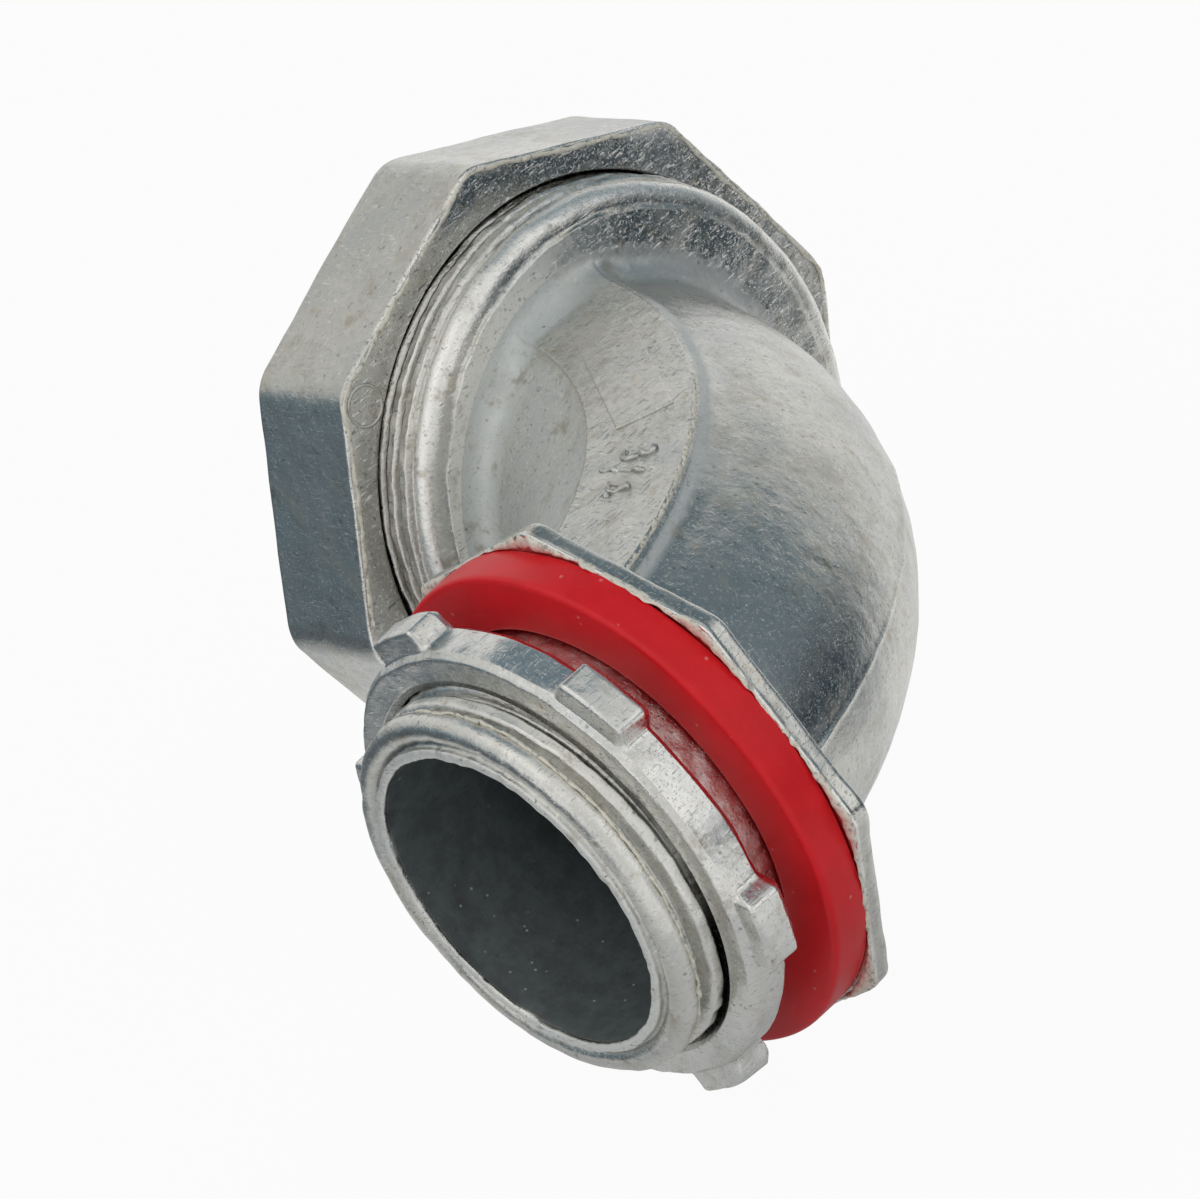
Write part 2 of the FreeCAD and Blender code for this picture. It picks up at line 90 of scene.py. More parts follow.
# Sizes of the pieces that their boxes do not give: lengths in millimetres, the sweep of the bead in
# degrees and the turns of the lugs in radians.
BEND_RADIUS = 39.0
TUBE_RADIUS = 12.3
PASSAGE_RADIUS = 9.8
PAD_HALF_WIDTH = 3.6
PAD_TOP = 12.95
FLANGE_FRONT = WASHER_BACK + 0.03
FLANGE_BACK = FLANGE_FRONT + 1.4
FLANGE_HALF_FLATS = 17.15
FLANGE_CORNER = 1.6
FLANGE_FILLET = 0.9
HUB_CREST = 13.2
HUB_TIP_CREST = 13.0
HUB_PITCH = 25.4 / 14
HUB_THREAD_DEPTH = 0.85
HUB_GROOVE = 1.8
CREST_WEAR = 0.04
THROAT_RADIUS = 10.45
LIP_RADIUS = 11.15
LIP_DEPTH = 0.4
NOSE_LENGTH = 1.3
BEAD_RADIUS = 0.92
BEAD_PLACE = NOSE_LENGTH - 0.25
BEAD_SWEEP = (-68, 122)
COLLAR_BACK = 30.1
COLLAR_FACE_RADIUS = 16.45
COLLAR_BAND_RADIUS = 18.2
COLLAR_BAND = 1.6
COLLAR_CREST = 18.5
COLLAR_PITCH = 1.27
COLLAR_THREAD_DEPTH = 0.66
COLLAR_FILLET = 1.8
COLLAR_BORE = 15.5
COLLAR_SEAT = 33.5
NUT_HALF_FLATS = 20.8
NUT_CORNER = 3.0
NUT_BORE = 18.75
NUT_FLAT_LENGTH = 9.0
NUT_MOUTH = 13.6
LOCKNUT_BORE = 13.4
THREAD_PLAY = 0.1
LOCKNUT_RIM = 15.6
LUG_TIP = 17.1
LUG_HALF_TURN = math.radians(8.9)
LUG_FIRST = math.radians(-10)
LUG_COUNT = 6

BEND_CENTRE = np.array([-BEND_RADIUS, CONDUIT_Y - BEND_RADIUS, 0.0])
OCTAGON_CORNERS = [k * TAU / 8 for k in range(8)]

# Directions: from the nut's back face to the hub, from the hub's end to the flange, and up from the pad.
TO_HUB = np.array([1.0, 0.0, 0.0])
TO_FLANGE = np.array([0.0, 1.0, 0.0])
UP = np.array([0.0, 0.0, 1.0])

# How much of the felt of cast fibres plain metal shows.
PLAIN_FELT = 0.9


# Curves and fields that several pieces share.

def smooth_step(low, high, value):
    """Zero below low, one above high, and an S-curve between them."""
    share = np.clip((value - low) / (high - low), 0, 1)
    return share * share * (3 - 2 * share)


def column(*values):
    """Values down a grid, one for each row."""
    return np.array(values)[:, None]


def even_turn(count):
    """Angles once around, in equal steps."""
    return np.arange(count) * TAU / count


def soft_min(first, second, blend):
    """The smaller of two values, rounded over where they differ by less than blend."""
    share = np.clip(0.5 + 0.5 * (second - first) / blend, 0, 1)
    return second + (first - second) * share - blend * share * (1 - share)


def soft_max(first, second, blend):
    """The larger of two values, rounded over where they differ by less than blend."""
    return -soft_min(-first, -second, blend)


def crowded_turn(count, marks, reach, gain):
    """Angles once around that crowd near the marks: equal steps of the running sum of a density,
    which is one plus a bell of the given reach and height at each mark."""
    fine = np.linspace(0, TAU, 14401)
    gap = np.abs((fine[:, None] - np.asarray(marks) + math.pi) % TAU - math.pi)
    density = 1 + (gain * np.exp(-(gap / reach) ** 2)).sum(axis=1)
    total = np.concatenate([[0.0], np.cumsum((density[1:] + density[:-1]) / 2)])
    return np.interp(np.arange(count) / count, total / total[-1], fine)


def rounded_octagon(angle, half_flats, corner):
    """Radius of an octagon with a corner at angle zero: straight flats, and at each corner a circle that
    touches both flats."""
    eighth = TAU / 8
    off_flat = np.abs(angle % eighth - eighth / 2)
    flat = half_flats / np.cos(off_flat)
    centre = (half_flats - corner) / math.cos(eighth / 2)
    off_corner = eighth / 2 - off_flat
    inside = np.maximum(corner ** 2 - (centre * np.sin(off_corner)) ** 2, 0)
    arc = centre * np.cos(off_corner) + np.sqrt(inside)
    touch = math.atan((half_flats - corner) * math.tan(eighth / 2) / half_flats)
    return np.where(off_flat > touch, arc, flat)


def ripple(points, wavelength, seed, waves=28):
    """A smooth random field in space: the sum of plane sine waves in random directions, of about the
    given wavelength, scaled to a spread of about one."""
    rng = np.random.default_rng(seed)
    ways = rng.normal(size=(waves, 3))
    ways /= np.linalg.norm(ways, axis=1)[:, None]
    ways *= (TAU / wavelength * rng.uniform(0.6, 1.6, waves))[:, None]
    phase = rng.uniform(0, TAU, waves)
    return np.sin(points @ ways.T + phase).sum(axis=-1) / math.sqrt(waves / 2)


def ragged(angle, seed, low=6, high=90):
    """A random line that closes on itself: sines of whole numbers of waves around the turn, the finer
    ones weaker, scaled to a spread of about one."""
    rng = np.random.default_rng(seed)
    waves = np.arange(low, high)
    strength = (low / waves) ** 0.6 * rng.uniform(0.4, 1.6, len(waves))
    phase = rng.uniform(0, TAU, len(waves))
    line = np.sin(np.asarray(angle)[..., None] * waves + phase) @ strength
    return line / math.sqrt((strength ** 2).sum() / 2)


def thread_cut(phase, crest_share=0.34):
    """How deep a worn cast thread is cut, from zero on the crest to one in the root: a raised cosine of
    the phase, flattened on the crest."""
    wave = 0.5 - 0.5 * np.cos(TAU * phase)
    return smooth_step(crest_share * 0.5, 1.0, wave)


def rounded_run(corners, stretch, steps=4, close=0.12):
    """A closed run of straight lines with rounded corners. A corner is its values and its radius, and only
    the first two values measure length. The round leaves each line at the radius divided by the tangent of
    half the angle, and is a parabola that touches both lines. Lines are divided at the stretch, with one
    more point close to each round."""
    values = np.array([corner[:-1] for corner in corners], float)
    rounds = []
    for index, here in enumerate(values):
        back = values[index - 1] - here
        ahead = values[(index + 1) % len(values)] - here
        back_length = np.linalg.norm(back[:2])
        ahead_length = np.linalg.norm(ahead[:2])
        cosine = np.clip(back[:2] @ ahead[:2] / (back_length * ahead_length), -0.999999, 0.999999)
        half = math.acos(cosine) / 2
        leave = min(corners[index][-1] / math.tan(half), 0.45 * back_length, 0.45 * ahead_length)
        first = here + back * leave / back_length
        last = here + ahead * leave / ahead_length
        share = np.linspace(0, 1, steps + 1)[:, None]
        rounds.append((1 - share) ** 2 * first + 2 * share * (1 - share) * here + share ** 2 * last)
    rows = []
    for bow, following in zip(rounds, rounds[1:] + rounds[:1]):
        line = following[0] - bow[-1]
        length = np.linalg.norm(line[:2])
        near = min(close / max(length, 1e-6), 0.25)
        inner = np.linspace(0, 1, max(int(length / stretch), 1) + 1)[1:-1]
        inner = inner[(inner > 2 * near) & (inner < 1 - 2 * near)]
        shares = np.concatenate([[near], inner, [1 - near]])
        rows += [bow, bow[-1] + shares[:, None] * line]
    return np.concatenate(rows)


# Meshes from grids of points.

def grid_faces(rows, columns):
    """Four-sided faces of a grid that closes on itself both ways."""
    row, place = np.meshgrid(np.arange(rows), np.arange(columns), indexing="ij")
    next_row = (row + 1) % rows
    next_place = (place + 1) % columns
    corners = (row * columns + place, next_row * columns + place,
               next_row * columns + next_place, row * columns + next_place)
    return np.stack(corners, axis=-1).reshape(-1, 4)


def outward(points, faces):
    """The faces, turned round if the volume that they enclose comes out negative."""
    a, b, c, d = (points[faces[:, k]] for k in range(4))
    volume = sum(np.einsum("ij,ij->i", a, np.cross(*pair)).sum() for pair in ((b, c), (c, d)))
    return faces if volume > 0 else faces[:, ::-1]


def lift(grid, height):
    """Move a closed grid's points along its normals: the cross product of the differences between the
    neighbours along the two directions, pointed outwards."""
    along = np.roll(grid, -1, axis=0) - np.roll(grid, 1, axis=0)
    across = np.roll(grid, -1, axis=1) - np.roll(grid, 1, axis=1)
    normal = np.cross(along, across)
    normal /= np.maximum(np.linalg.norm(normal, axis=-1), 1e-9)[..., None]
    faces = grid_faces(*grid.shape[:2])
    points = grid.reshape(-1, 3)
    turned = outward(points, faces)[0, 0] != faces[0, 0]
    return grid + (normal if turned else -normal) * height[..., None]


def new_object(name, data):
    """A new object in the scene, at the origin."""
    thing = bpy.data.objects.new(name, data)
    bpy.context.scene.collection.objects.link(thing)
    return thing


def piece(name, points, faces, material, body, marks=None):
    """A smooth-shaded mesh of the points, in millimetres, that rides on a body. Marks are numbers at the
    points that the material reads."""
    mesh = bpy.data.meshes.new(name)
    mesh.from_pydata(points * MM, [], faces)
    mesh.shade_smooth()
    for label, values in (marks or {}).items():
        layer = mesh.attributes.new(label, "FLOAT", "POINT")
        layer.data.foreach_set("value", np.ascontiguousarray(values, np.float32).ravel())
    mesh.materials.append(material)
    thing = new_object(name, mesh)
    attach(thing, body)
    return thing


def ring_piece(name, grid, material, body, marks=None):
    """A piece from a grid that closes on itself both ways."""
    points = grid.reshape(-1, 3)
    faces = outward(points, grid_faces(*grid.shape[:2]))
    return piece(name, points, faces.tolist(), material, body, marks)


def capped_piece(name, grid, material, body):
    """A piece from a grid that closes around its rows and ends in a middle point past the first and the
    last row. The caps start as four-sided faces with a doubled corner, which is then dropped."""
    rows, columns = grid.shape[:2]
    sides = grid_faces(rows, columns)[: (rows - 1) * columns]
    points = np.concatenate([grid.reshape(-1, 3), grid[:1].mean(axis=1), grid[-1:].mean(axis=1)])
    near = np.arange(columns)
    far = np.roll(near, -1)
    first_pole = rows * columns
    last = (rows - 1) * columns
    start = np.stack([np.full(columns, first_pole), near, far, far], axis=-1)
    end = np.stack([np.full(columns, first_pole + 1), last + far, last + near, last + near], axis=-1)
    faces = outward(points, np.concatenate([sides, start, end]))
    faces = [tuple(dict.fromkeys(face)) for face in faces.tolist()]
    return piece(name, points, faces, material, body, {"felt": np.full(len(points), PLAIN_FELT)})


# Rings of points about the hub axis, about the conduit axis and around the bend.

def hub_ring(angle, y, radius):
    """Circles about the hub axis, with angle zero towards the heel and a quarter turn at the upper flank."""
    return np.stack(np.broadcast_arrays(radius * np.cos(angle), y, radius * np.sin(angle)), axis=-1)


def collar_ring(angle, reach, radius):
    """Circles about the conduit axis, at a reach from the hub axis, with the same angles."""
    ring = np.broadcast_arrays(-reach, CONDUIT_Y + radius * np.cos(angle), radius * np.sin(angle))
    return np.stack(ring, axis=-1)


def bend_ring(angle, turn, radius):
    """Circles around the centreline of the bend, turned about the bend's axis from the hub's side."""
    arm = BEND_RADIUS + radius * np.cos(angle)
    height = radius * np.sin(angle)
    ring = np.broadcast_arrays(arm * np.cos(turn), arm * np.sin(turn), height)
    return BEND_CENTRE + np.stack(ring, axis=-1)


def lathe(ring, angle, profile):
    """A profile turned about an axis: its first value lies along the axis and its second is the radius."""
    return ring(angle, profile[:, :1], profile[:, 1:2])


def hub_spokes(angle):
    """Unit vectors out from the hub axis."""
    return np.stack([np.cos(angle), 0 * angle, np.sin(angle)], axis=-1)


def conduit_spokes(angle):
    """Unit vectors out from the conduit axis."""
    return np.stack([0 * angle, np.cos(angle), np.sin(angle)], axis=-1)


def turn_at_y(angle, radius, y):
    """The turn about the bend's axis at which the tube's line at this angle crosses a plane across the
    hub axis."""
    return np.arcsin((y - BEND_CENTRE[1]) / (BEND_RADIUS + radius * np.cos(angle)))


def turn_at_reach(angle, radius, reach):
    """The turn at which the tube's line at this angle crosses a plane across the conduit axis."""
    return np.arccos((BEND_RADIUS - reach) / (BEND_RADIUS + radius * np.cos(angle)))


def tube_section(angle, share):
    """Radius of the tube around its centreline, at a share of the way from the flange to the collar: a
    circle with a flat pad on each flank. The pad is the smaller of a level plane and two upright planes.
    Beside it the circle swells in a hollow curve, the square of the share of the way to the swell's end, so
    that only a low step is left. On the heel's side the swell is higher and wider near the collar."""
    beside = np.abs(TUBE_RADIUS * np.cos(angle)) - PAD_HALF_WIDTH
    heel = np.cos(angle) > 0
    rise = np.where(heel, 0.55 + 0.4 * share, 0.75)
    width = np.where(heel, 1.5 + 0.9 * share, 2.6)
    swell = rise * np.clip(1 - beside / width, 0, 1) ** 2 * smooth_step(-1.2, 0.0, beside)
    level = PAD_TOP / np.maximum(np.abs(np.sin(angle)), 1e-6)
    upright = PAD_HALF_WIDTH / np.maximum(np.abs(np.cos(angle)), 1e-6)
    return soft_max(TUBE_RADIUS + swell, soft_min(level, upright, 0.1), 0.12)


def hub_thread(angle, y):
    """Radius of the hub's thread and its cut: a right-hand helix in a slightly tapered cylinder. It starts
    in a shallow groove behind the rounded bead and runs out before the flange."""
    groove = HUB_END + HUB_GROOVE
    crest = HUB_TIP_CREST + (HUB_CREST - HUB_TIP_CREST) * smooth_step(groove, groove + 1.4, y)
    phase = (HUB_END + 1.1 - y) / HUB_PITCH - angle / TAU
    cut = thread_cut(phase, 0.5) * smooth_step(HUB_END + NOSE_LENGTH, groove + 0.3, y)
    cut = np.maximum(cut, 0.5 * np.exp(-((y - groove) / 0.22) ** 2))
    cut = cut * smooth_step(LOCKNUT_BACK + 0.4, LOCKNUT_BACK - 1.2, y)
    return crest - CREST_WEAR - HUB_THREAD_DEPTH * cut, cut


def fillet_rows(radius, count):
    """Shares of a quarter round from a plane onto the tube: how far it stands off the tube, and how far
    it has gone along it."""
    quarter = np.linspace(0, math.pi / 2, count)[:, None]
    return radius * (1 - np.sin(quarter)), radius * (1 - np.cos(quarter))


class Skin:
    """The rows of one closed skin. Each row also says how polished its metal is, how far inside the casting
    it lies, which the material paints as shade, how thick its felt of cast fibres is, whose colours paint
    glints and shade on the fibres, and how much dry haze dulls it, whose pale colour is painted light."""

    def __init__(self):
        self.rows = []
        self.marks = {"polish": [], "inside": [], "felt": [], "haze": []}

    def add(self, grid, polish=0.0, inside=0.0, felt=PLAIN_FELT, haze=0.0):
        self.rows.append(grid)
        for name, value in zip(self.marks, (polish, inside, felt, haze)):
            self.marks[name].append(np.broadcast_to(value, grid.shape[:2]))


def hub_rows(skin, angle):
    """The hub from the inside out: the throat, a flat torn lip across its end, a round bead, which is an arc
    about a centre just inside the wall, and the thread, worn on its crests by a random field."""
    throat_y = np.linspace(BEND_CENTRE[1], HUB_END + LIP_DEPTH, 4)[:, None]
    throat = THROAT_RADIUS + 0.03 * ragged(angle, 3, 3, 20)
    # The throat is marked inside, which the material paints in shade.
    skin.add(hub_ring(angle, throat_y, throat), inside=1.0, felt=0.7)

    tear = column(0.2, 0.6, 1.0, 0.8, 0.6, 0.8, 1.0, 0.5)
    # The lip's haze dulls it, and its pale colour is painted light on the torn lip.
    dry = column(0.0, 0.1, 0.6, 0.8, 0.8, 0.8, 0.5, 0.2)
    across = column(0.0, 0.04, 0.12, 0.26, 0.6, 0.84, 0.94, 1.0)
    lip_y = HUB_END + column(0.25, 0.1, 0.03, 0.0, 0.0, 0.02, 0.08, 0.2)
    lip_y = lip_y + 0.03 * tear * ragged(angle, 5, 3, 70)
    lip = THROAT_RADIUS + (LIP_RADIUS - THROAT_RADIUS) * across
    lip = lip + 0.035 * tear * ragged(angle, 6, 3, 90)
    skin.add(hub_ring(angle, lip_y, lip), 0.6 * tear, felt=1.4, haze=dry)

    around = np.radians(np.linspace(*BEAD_SWEEP, 15))[:, None]
    bead_y = HUB_END + BEAD_PLACE - BEAD_RADIUS * np.cos(around)
    bead = HUB_TIP_CREST - BEAD_RADIUS + BEAD_RADIUS * np.sin(around) + 0.025 * ragged(angle, 7, 3, 50)
    skin.add(hub_ring(angle, bead_y, bead), 0.6 * np.clip(np.sin(around), 0, 1))

    y = np.concatenate([np.linspace(HUB_END + 1.72, LOCKNUT_FRONT + 0.3, 23),
                        np.linspace(LOCKNUT_FRONT + 0.5, FLANGE_FRONT - 0.35, 30)])[:, None]
    radius, cut = hub_thread(angle, y)
    worn = 0.03 * ragged(angle, 8, 4, 40) + 0.02 * ripple(hub_ring(angle, y, radius), 1.6, 9)
    skin.add(hub_ring(angle, y, radius + worn * (1 - cut)), 0.7 * (1 - cut))


def flange_rows(skin, angle):
    """The flange, a rounded octagon: its front face, torn front edge, side wall, rounded back edge and back
    face, which is a straight line from the octagon to the foot of the tube's round."""
    octagon = rounded_octagon(angle, FLANGE_HALF_FLATS, FLANGE_CORNER)
    across = column(0.0, 0.5, 0.93)
    skin.add(hub_ring(angle, FLANGE_FRONT, HUB_CREST + 0.05 + across * (octagon - 0.35 - HUB_CREST)))

    torn = np.clip(ragged(angle, 11, 9, 120), -0.6, 2.0)
    tear = column(0.0, 1.0, 1.0, 0.7, 0.0, 0.0)
    edge_y = FLANGE_FRONT + column(0.0, 0.0, 0.06, 0.16, 0.3, 0.42)
    edge = octagon - column(0.26, 0.1, 0.0, 0.0, 0.03, 0.05) + 0.04 * tear * torn
    skin.add(hub_ring(angle, edge_y, edge), tear)
    skin.add(hub_ring(angle, column(FLANGE_FRONT + 0.6, FLANGE_BACK - 0.6), octagon - 0.05))

    edge_y = FLANGE_BACK - column(0.4, 0.22, 0.09, 0.02, 0.0)
    edge = octagon - column(0.06, 0.09, 0.17, 0.3, 0.45) + 0.02 * ragged(angle, 13, 9, 60)
    skin.add(hub_ring(angle, edge_y, edge), 0.3)
    root = tube_section(angle, 0.0) + FLANGE_FILLET
    foot = bend_ring(angle, turn_at_y(angle, root, FLANGE_BACK), root)
    rim = hub_ring(angle, FLANGE_BACK, octagon - 0.6)
    skin.add(rim + column(0.0, 0.3, 0.65, 0.94)[..., None] * (foot - rim))


def scraped_side(angle):
    """One on the inner side of the bend, where the collar's face was scraped, and zero at the heel."""
    return smooth_step(0.5, -0.2, np.cos(angle))


def tube_rows(skin, angle):
    """The curved tube, with a quarter round into the flange and into the collar. Through the last round its
    section is evened out to a near circle. The parting line along the heel is a bead, a narrow bell of the
    angle times a random height."""
    section = tube_section(angle, 0.0)
    stand, gone = fillet_rows(FLANGE_FILLET, 8)
    turn = turn_at_y(angle, section + stand, FLANGE_BACK) + gone / (BEND_RADIUS + section * np.cos(angle))
    skin.add(bend_ring(angle, turn, section + stand))
    first = turn[-1]

    stand, gone = (rows[::-1] for rows in fillet_rows(COLLAR_FILLET, 10))
    evened = TUBE_RADIUS + 0.6 * np.abs(np.sin(angle)) ** 6
    spread = smooth_step(0.0, 1.0, stand / COLLAR_FILLET)
    ending = tube_section(angle, 1.0) * (1 - spread) + evened * spread
    end_turn = turn_at_reach(angle, ending + stand, COLLAR_BACK)
    end_turn = end_turn - gone / (BEND_RADIUS + ending * np.cos(angle))

    share = np.linspace(0, 1, 48)[1:-1, None]
    turn = first + share * (end_turn[0] - first)
    section = tube_section(angle, share)
    off_heel = (angle + math.pi) % TAU - math.pi
    height = 0.07 + 0.04 * ripple(bend_ring(angle, turn, section), 4.0, 17)
    bead = np.exp(-(off_heel / math.radians(0.95)) ** 2) * height

    heel = np.cos(angle) > 0
    beside = np.abs(TUBE_RADIUS * np.cos(angle)) - PAD_HALF_WIDTH
    off_pad = smooth_step(-0.1, 0.3, beside)
    scraped = scraped_side(angle)
    # Haze on the hollow beside the heel's pad, on the crescent of the inner flank and on the round into the
    # collar dulls the metal, and its pale colour is painted light there.
    hollow = smooth_step(-0.1, 0.15, beside) * smooth_step(0.8, 0.45, beside) * heel
    hollow = hollow * smooth_step(0.95, 0.8, share)
    crescent = off_pad * (np.cos(angle) < 0)
    closing = smooth_step(0.92, 1.0, share) * off_pad * (0.25 + 0.75 * scraped)
    haze = np.maximum(np.maximum(0.8 * hollow, 0.6 * crescent), closing)
    felt = np.where(heel & (beside > 0), 0.85, 1.3)
    skin.add(bend_ring(angle, turn, section + bead), np.clip(bead * 6, 0, 1), felt=felt, haze=haze)
    skin.add(bend_ring(angle, end_turn, ending + stand), felt=0.5, haze=0.3 + 0.7 * scraped)


def collar_rows(skin, angle):
    """The collar: a rough back face with a torn edge, a smooth round band, a thread cut as a right-hand
    helix and worn on its crests, and the open end with its bevels and bore, a profile turned about the
    conduit axis. The rows of that closed profile that lead back through the wall are left off."""
    scraped = scraped_side(angle)
    foot = skin.rows[-1][-1]
    rim = collar_ring(angle, COLLAR_BACK, COLLAR_FACE_RADIUS + 0.07 * ragged(angle, 18, 4, 80))
    share = column(0.06, 0.25, 0.5, 0.75, 0.95, 1.0)
    # On the round at the foot and on the scraped face the haze dulls the metal, and its pale colour is
    # painted light.
    haze = np.maximum(smooth_step(0.2, 0.0, share) * (0.3 + 0.7 * scraped), 0.45 * scraped)
    skin.add(foot + share[..., None] * (rim - foot), scraped, felt=1.6, haze=haze)

    risen = column(0.1, 0.13, 0.18, 0.3, 0.52, 0.82, 1.15, 1.45)
    band = COLLAR_BAND_RADIUS - column(1.68, 1.3, 0.95, 0.6, 0.3, 0.08, 0.0, 0.03)
    band = band + 0.03 * ragged(angle, 19, 3, 26)
    skin.add(collar_ring(angle, COLLAR_BACK + risen, band), smooth_step(0.1, 0.4, risen), felt=1.1)

    reach = np.concatenate([np.linspace(COLLAR_BACK + COLLAR_BAND, NUT_BACK + 0.1, 31),
                            np.linspace(NUT_BACK + 0.3, COLLAR_END - 0.62, 35)])[:, None]
    phase = (reach - COLLAR_BACK - 1.65) / COLLAR_PITCH + 0.5 + angle / TAU
    phase = phase - 0.375 + 0.02 * ragged(angle, 21, 2, 14)
    start = smooth_step(COLLAR_BACK + 1.3, COLLAR_BACK + 1.9, reach)
    cut = thread_cut(phase, 1.1) * start
    worn = 0.03 * ragged(angle, 23, 3, 34) + 0.025 * ripple(collar_ring(angle, reach, COLLAR_CREST), 1.1, 24)
    crest = COLLAR_CREST - 0.25 * (1 - start) - 0.05
    thread = crest - COLLAR_THREAD_DEPTH * cut + worn * (1 - cut)
    skin.add(collar_ring(angle, reach, thread), 0.5 * (1 - cut), felt=1.2)

    bevel = 0.6
    end = rounded_run([
        (COLLAR_END - 2.0, COLLAR_CREST, 0.0), (COLLAR_END - bevel, COLLAR_CREST - 0.05, 0.15),
        (COLLAR_END, COLLAR_CREST - bevel, 0.2), (COLLAR_END, COLLAR_BORE + bevel, 0.15),
        (COLLAR_END - bevel, COLLAR_BORE, 0.15), (COLLAR_SEAT, COLLAR_BORE, 0.3),
        (COLLAR_SEAT, PASSAGE_RADIUS + 3.2, 0.0)], 2.0, 3)[8:-8]
    # Towards the bore the end is marked inside, which the material paints in shade.
    skin.add(lathe(collar_ring, angle, end), inside=smooth_step(COLLAR_CREST - 1.0, COLLAR_BORE, end[:, 1:2]))


def passage_rows(skin, angle):
    """The curved passage from the seat in the collar, which widens smoothly into the throat."""
    turn = turn_at_reach(angle, PASSAGE_RADIUS, COLLAR_SEAT) * (1 - np.linspace(0, 0.98, 22)[:, None])
    widen = smooth_step(math.radians(16), math.radians(1), turn)
    passage = PASSAGE_RADIUS + (THROAT_RADIUS - PASSAGE_RADIUS) * widen
    # The passage is marked inside, which the material paints in shade.
    skin.add(bend_ring(angle, turn, passage), inside=1.0, felt=0.7)


def elbow_casting(material):
    """One closed skin from the hub's throat over its lip and thread, the flange, the curved tube and the
    collar, and back through the bore and the curved passage. Every row is a ring of points around the path;
    the rings turn about the hub axis, around the bend and about the conduit axis in that order."""
    pad_edge = math.atan2(PAD_TOP, PAD_HALF_WIDTH)
    pad_edges = [pad_edge, math.pi - pad_edge, math.pi + pad_edge, TAU - pad_edge]
    angle = crowded_turn(336, pad_edges + OCTAGON_CORNERS, math.radians(2.6), 1.9)
    skin = Skin()
    for add_rows in (hub_rows, flange_rows, tube_rows, collar_rows, passage_rows):
        add_rows(skin, angle)
    grid = np.concatenate(skin.rows)
    grid = lift(grid, 0.018 * ripple(grid, 5.0, 31) + 0.010 * ripple(grid, 1.9, 32))
    marks = {name: np.concatenate(values) for name, values in skin.marks.items()}
    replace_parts(ring_piece("elbow_casting", grid, material, "elbow", marks), "elbow_body")


def gland_nut(material):
    """A closed ring around the conduit axis: a profile whose radius is a circle inside and on the nose
    and a rounded octagon on the flats, with a weight that slides between the two along the faces."""
    angle = crowded_turn(256, OCTAGON_CORNERS, math.radians(3.6), 2.4)
    shape = rounded_octagon(angle, NUT_HALF_FLATS, NUT_CORNER) / NUT_HALF_FLATS
    flat_end = NUT_BACK + NUT_FLAT_LENGTH
    nose = NUT_HALF_FLATS - 1.2
    mouth_start = NUT_END - 2.4
    cone_start = flat_end + 0.3
    profile = rounded_run([
        (NUT_BACK, NUT_BORE + 0.08, 0.0, 0.06),
        (NUT_BACK, NUT_HALF_FLATS, 1.0, 0.25),
        (flat_end, NUT_HALF_FLATS, 1.0, 0.4),
        (flat_end, nose + 0.1, 0.0, 0.25),
        (flat_end + 0.8, nose, 0.0, 0.5),
        (NUT_END - 0.6, NUT_MOUTH + 3.0, 0.0, 0.5),
        (NUT_END, NUT_MOUTH + 2.4, 0.0, 0.3),
        (NUT_END, NUT_MOUTH + 0.5, 0.0, 0.2),
        (NUT_END - 0.5, NUT_MOUTH, 0.0, 0.15),
        (mouth_start, NUT_MOUTH, 0.0, 0.15),
        (mouth_start, NUT_MOUTH + 1.9, 0.0, 0.2),
        (cone_start, NUT_BORE - 0.55, 0.0, 0.15),
        (cone_start, NUT_BORE, 0.0, 0.15),
        (NUT_BACK + 0.15, NUT_BORE, 0.0, 0.06)], 0.55)
    reach, radius, eight = (profile[:, k, None] for k in range(3))
    outline = radius * (1 + eight * (shape - 1))
    threaded = smooth_step(NUT_BACK + 0.3, NUT_BACK + 0.6, reach)
    threaded = threaded * smooth_step(cone_start, cone_start - 0.6, reach)
    threaded = threaded * (np.abs(radius - NUT_BORE) < 0.01)
    outline = outline + threaded * 0.45 * thread_cut(reach / COLLAR_PITCH + angle / TAU)
    torn = np.clip(ragged(angle, 41, 5, 70), -0.8, 1.8)
    near_edge = np.exp(-((reach - NUT_BACK) / 0.16) ** 2) * smooth_step(0.7, 0.95, eight)
    outline = outline + near_edge * (0.05 + 0.05 * torn)
    reach = reach - near_edge * (0.02 + 0.05 * torn)
    grid = collar_ring(angle, reach, outline)
    outer = (radius > NUT_HALF_FLATS - 0.5) | (eight > 0.02)
    grid = lift(grid, (0.02 * ripple(grid, 6.0, 43) + 0.008 * ripple(grid, 2.2, 44)) * outer)
    # The felt is strongest on the back face, where its pale fibres are painted glints.
    marks = {"polish": np.clip(near_edge * (0.7 + 0.6 * torn), 0, 1),
             "felt": 0.8 + 1.5 * smooth_step(NUT_BACK + 0.3, NUT_BACK + 0.05, reach)}
    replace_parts(ring_piece("gland_nut_casting", grid, material, "gland_nut", marks), "gland_nut")


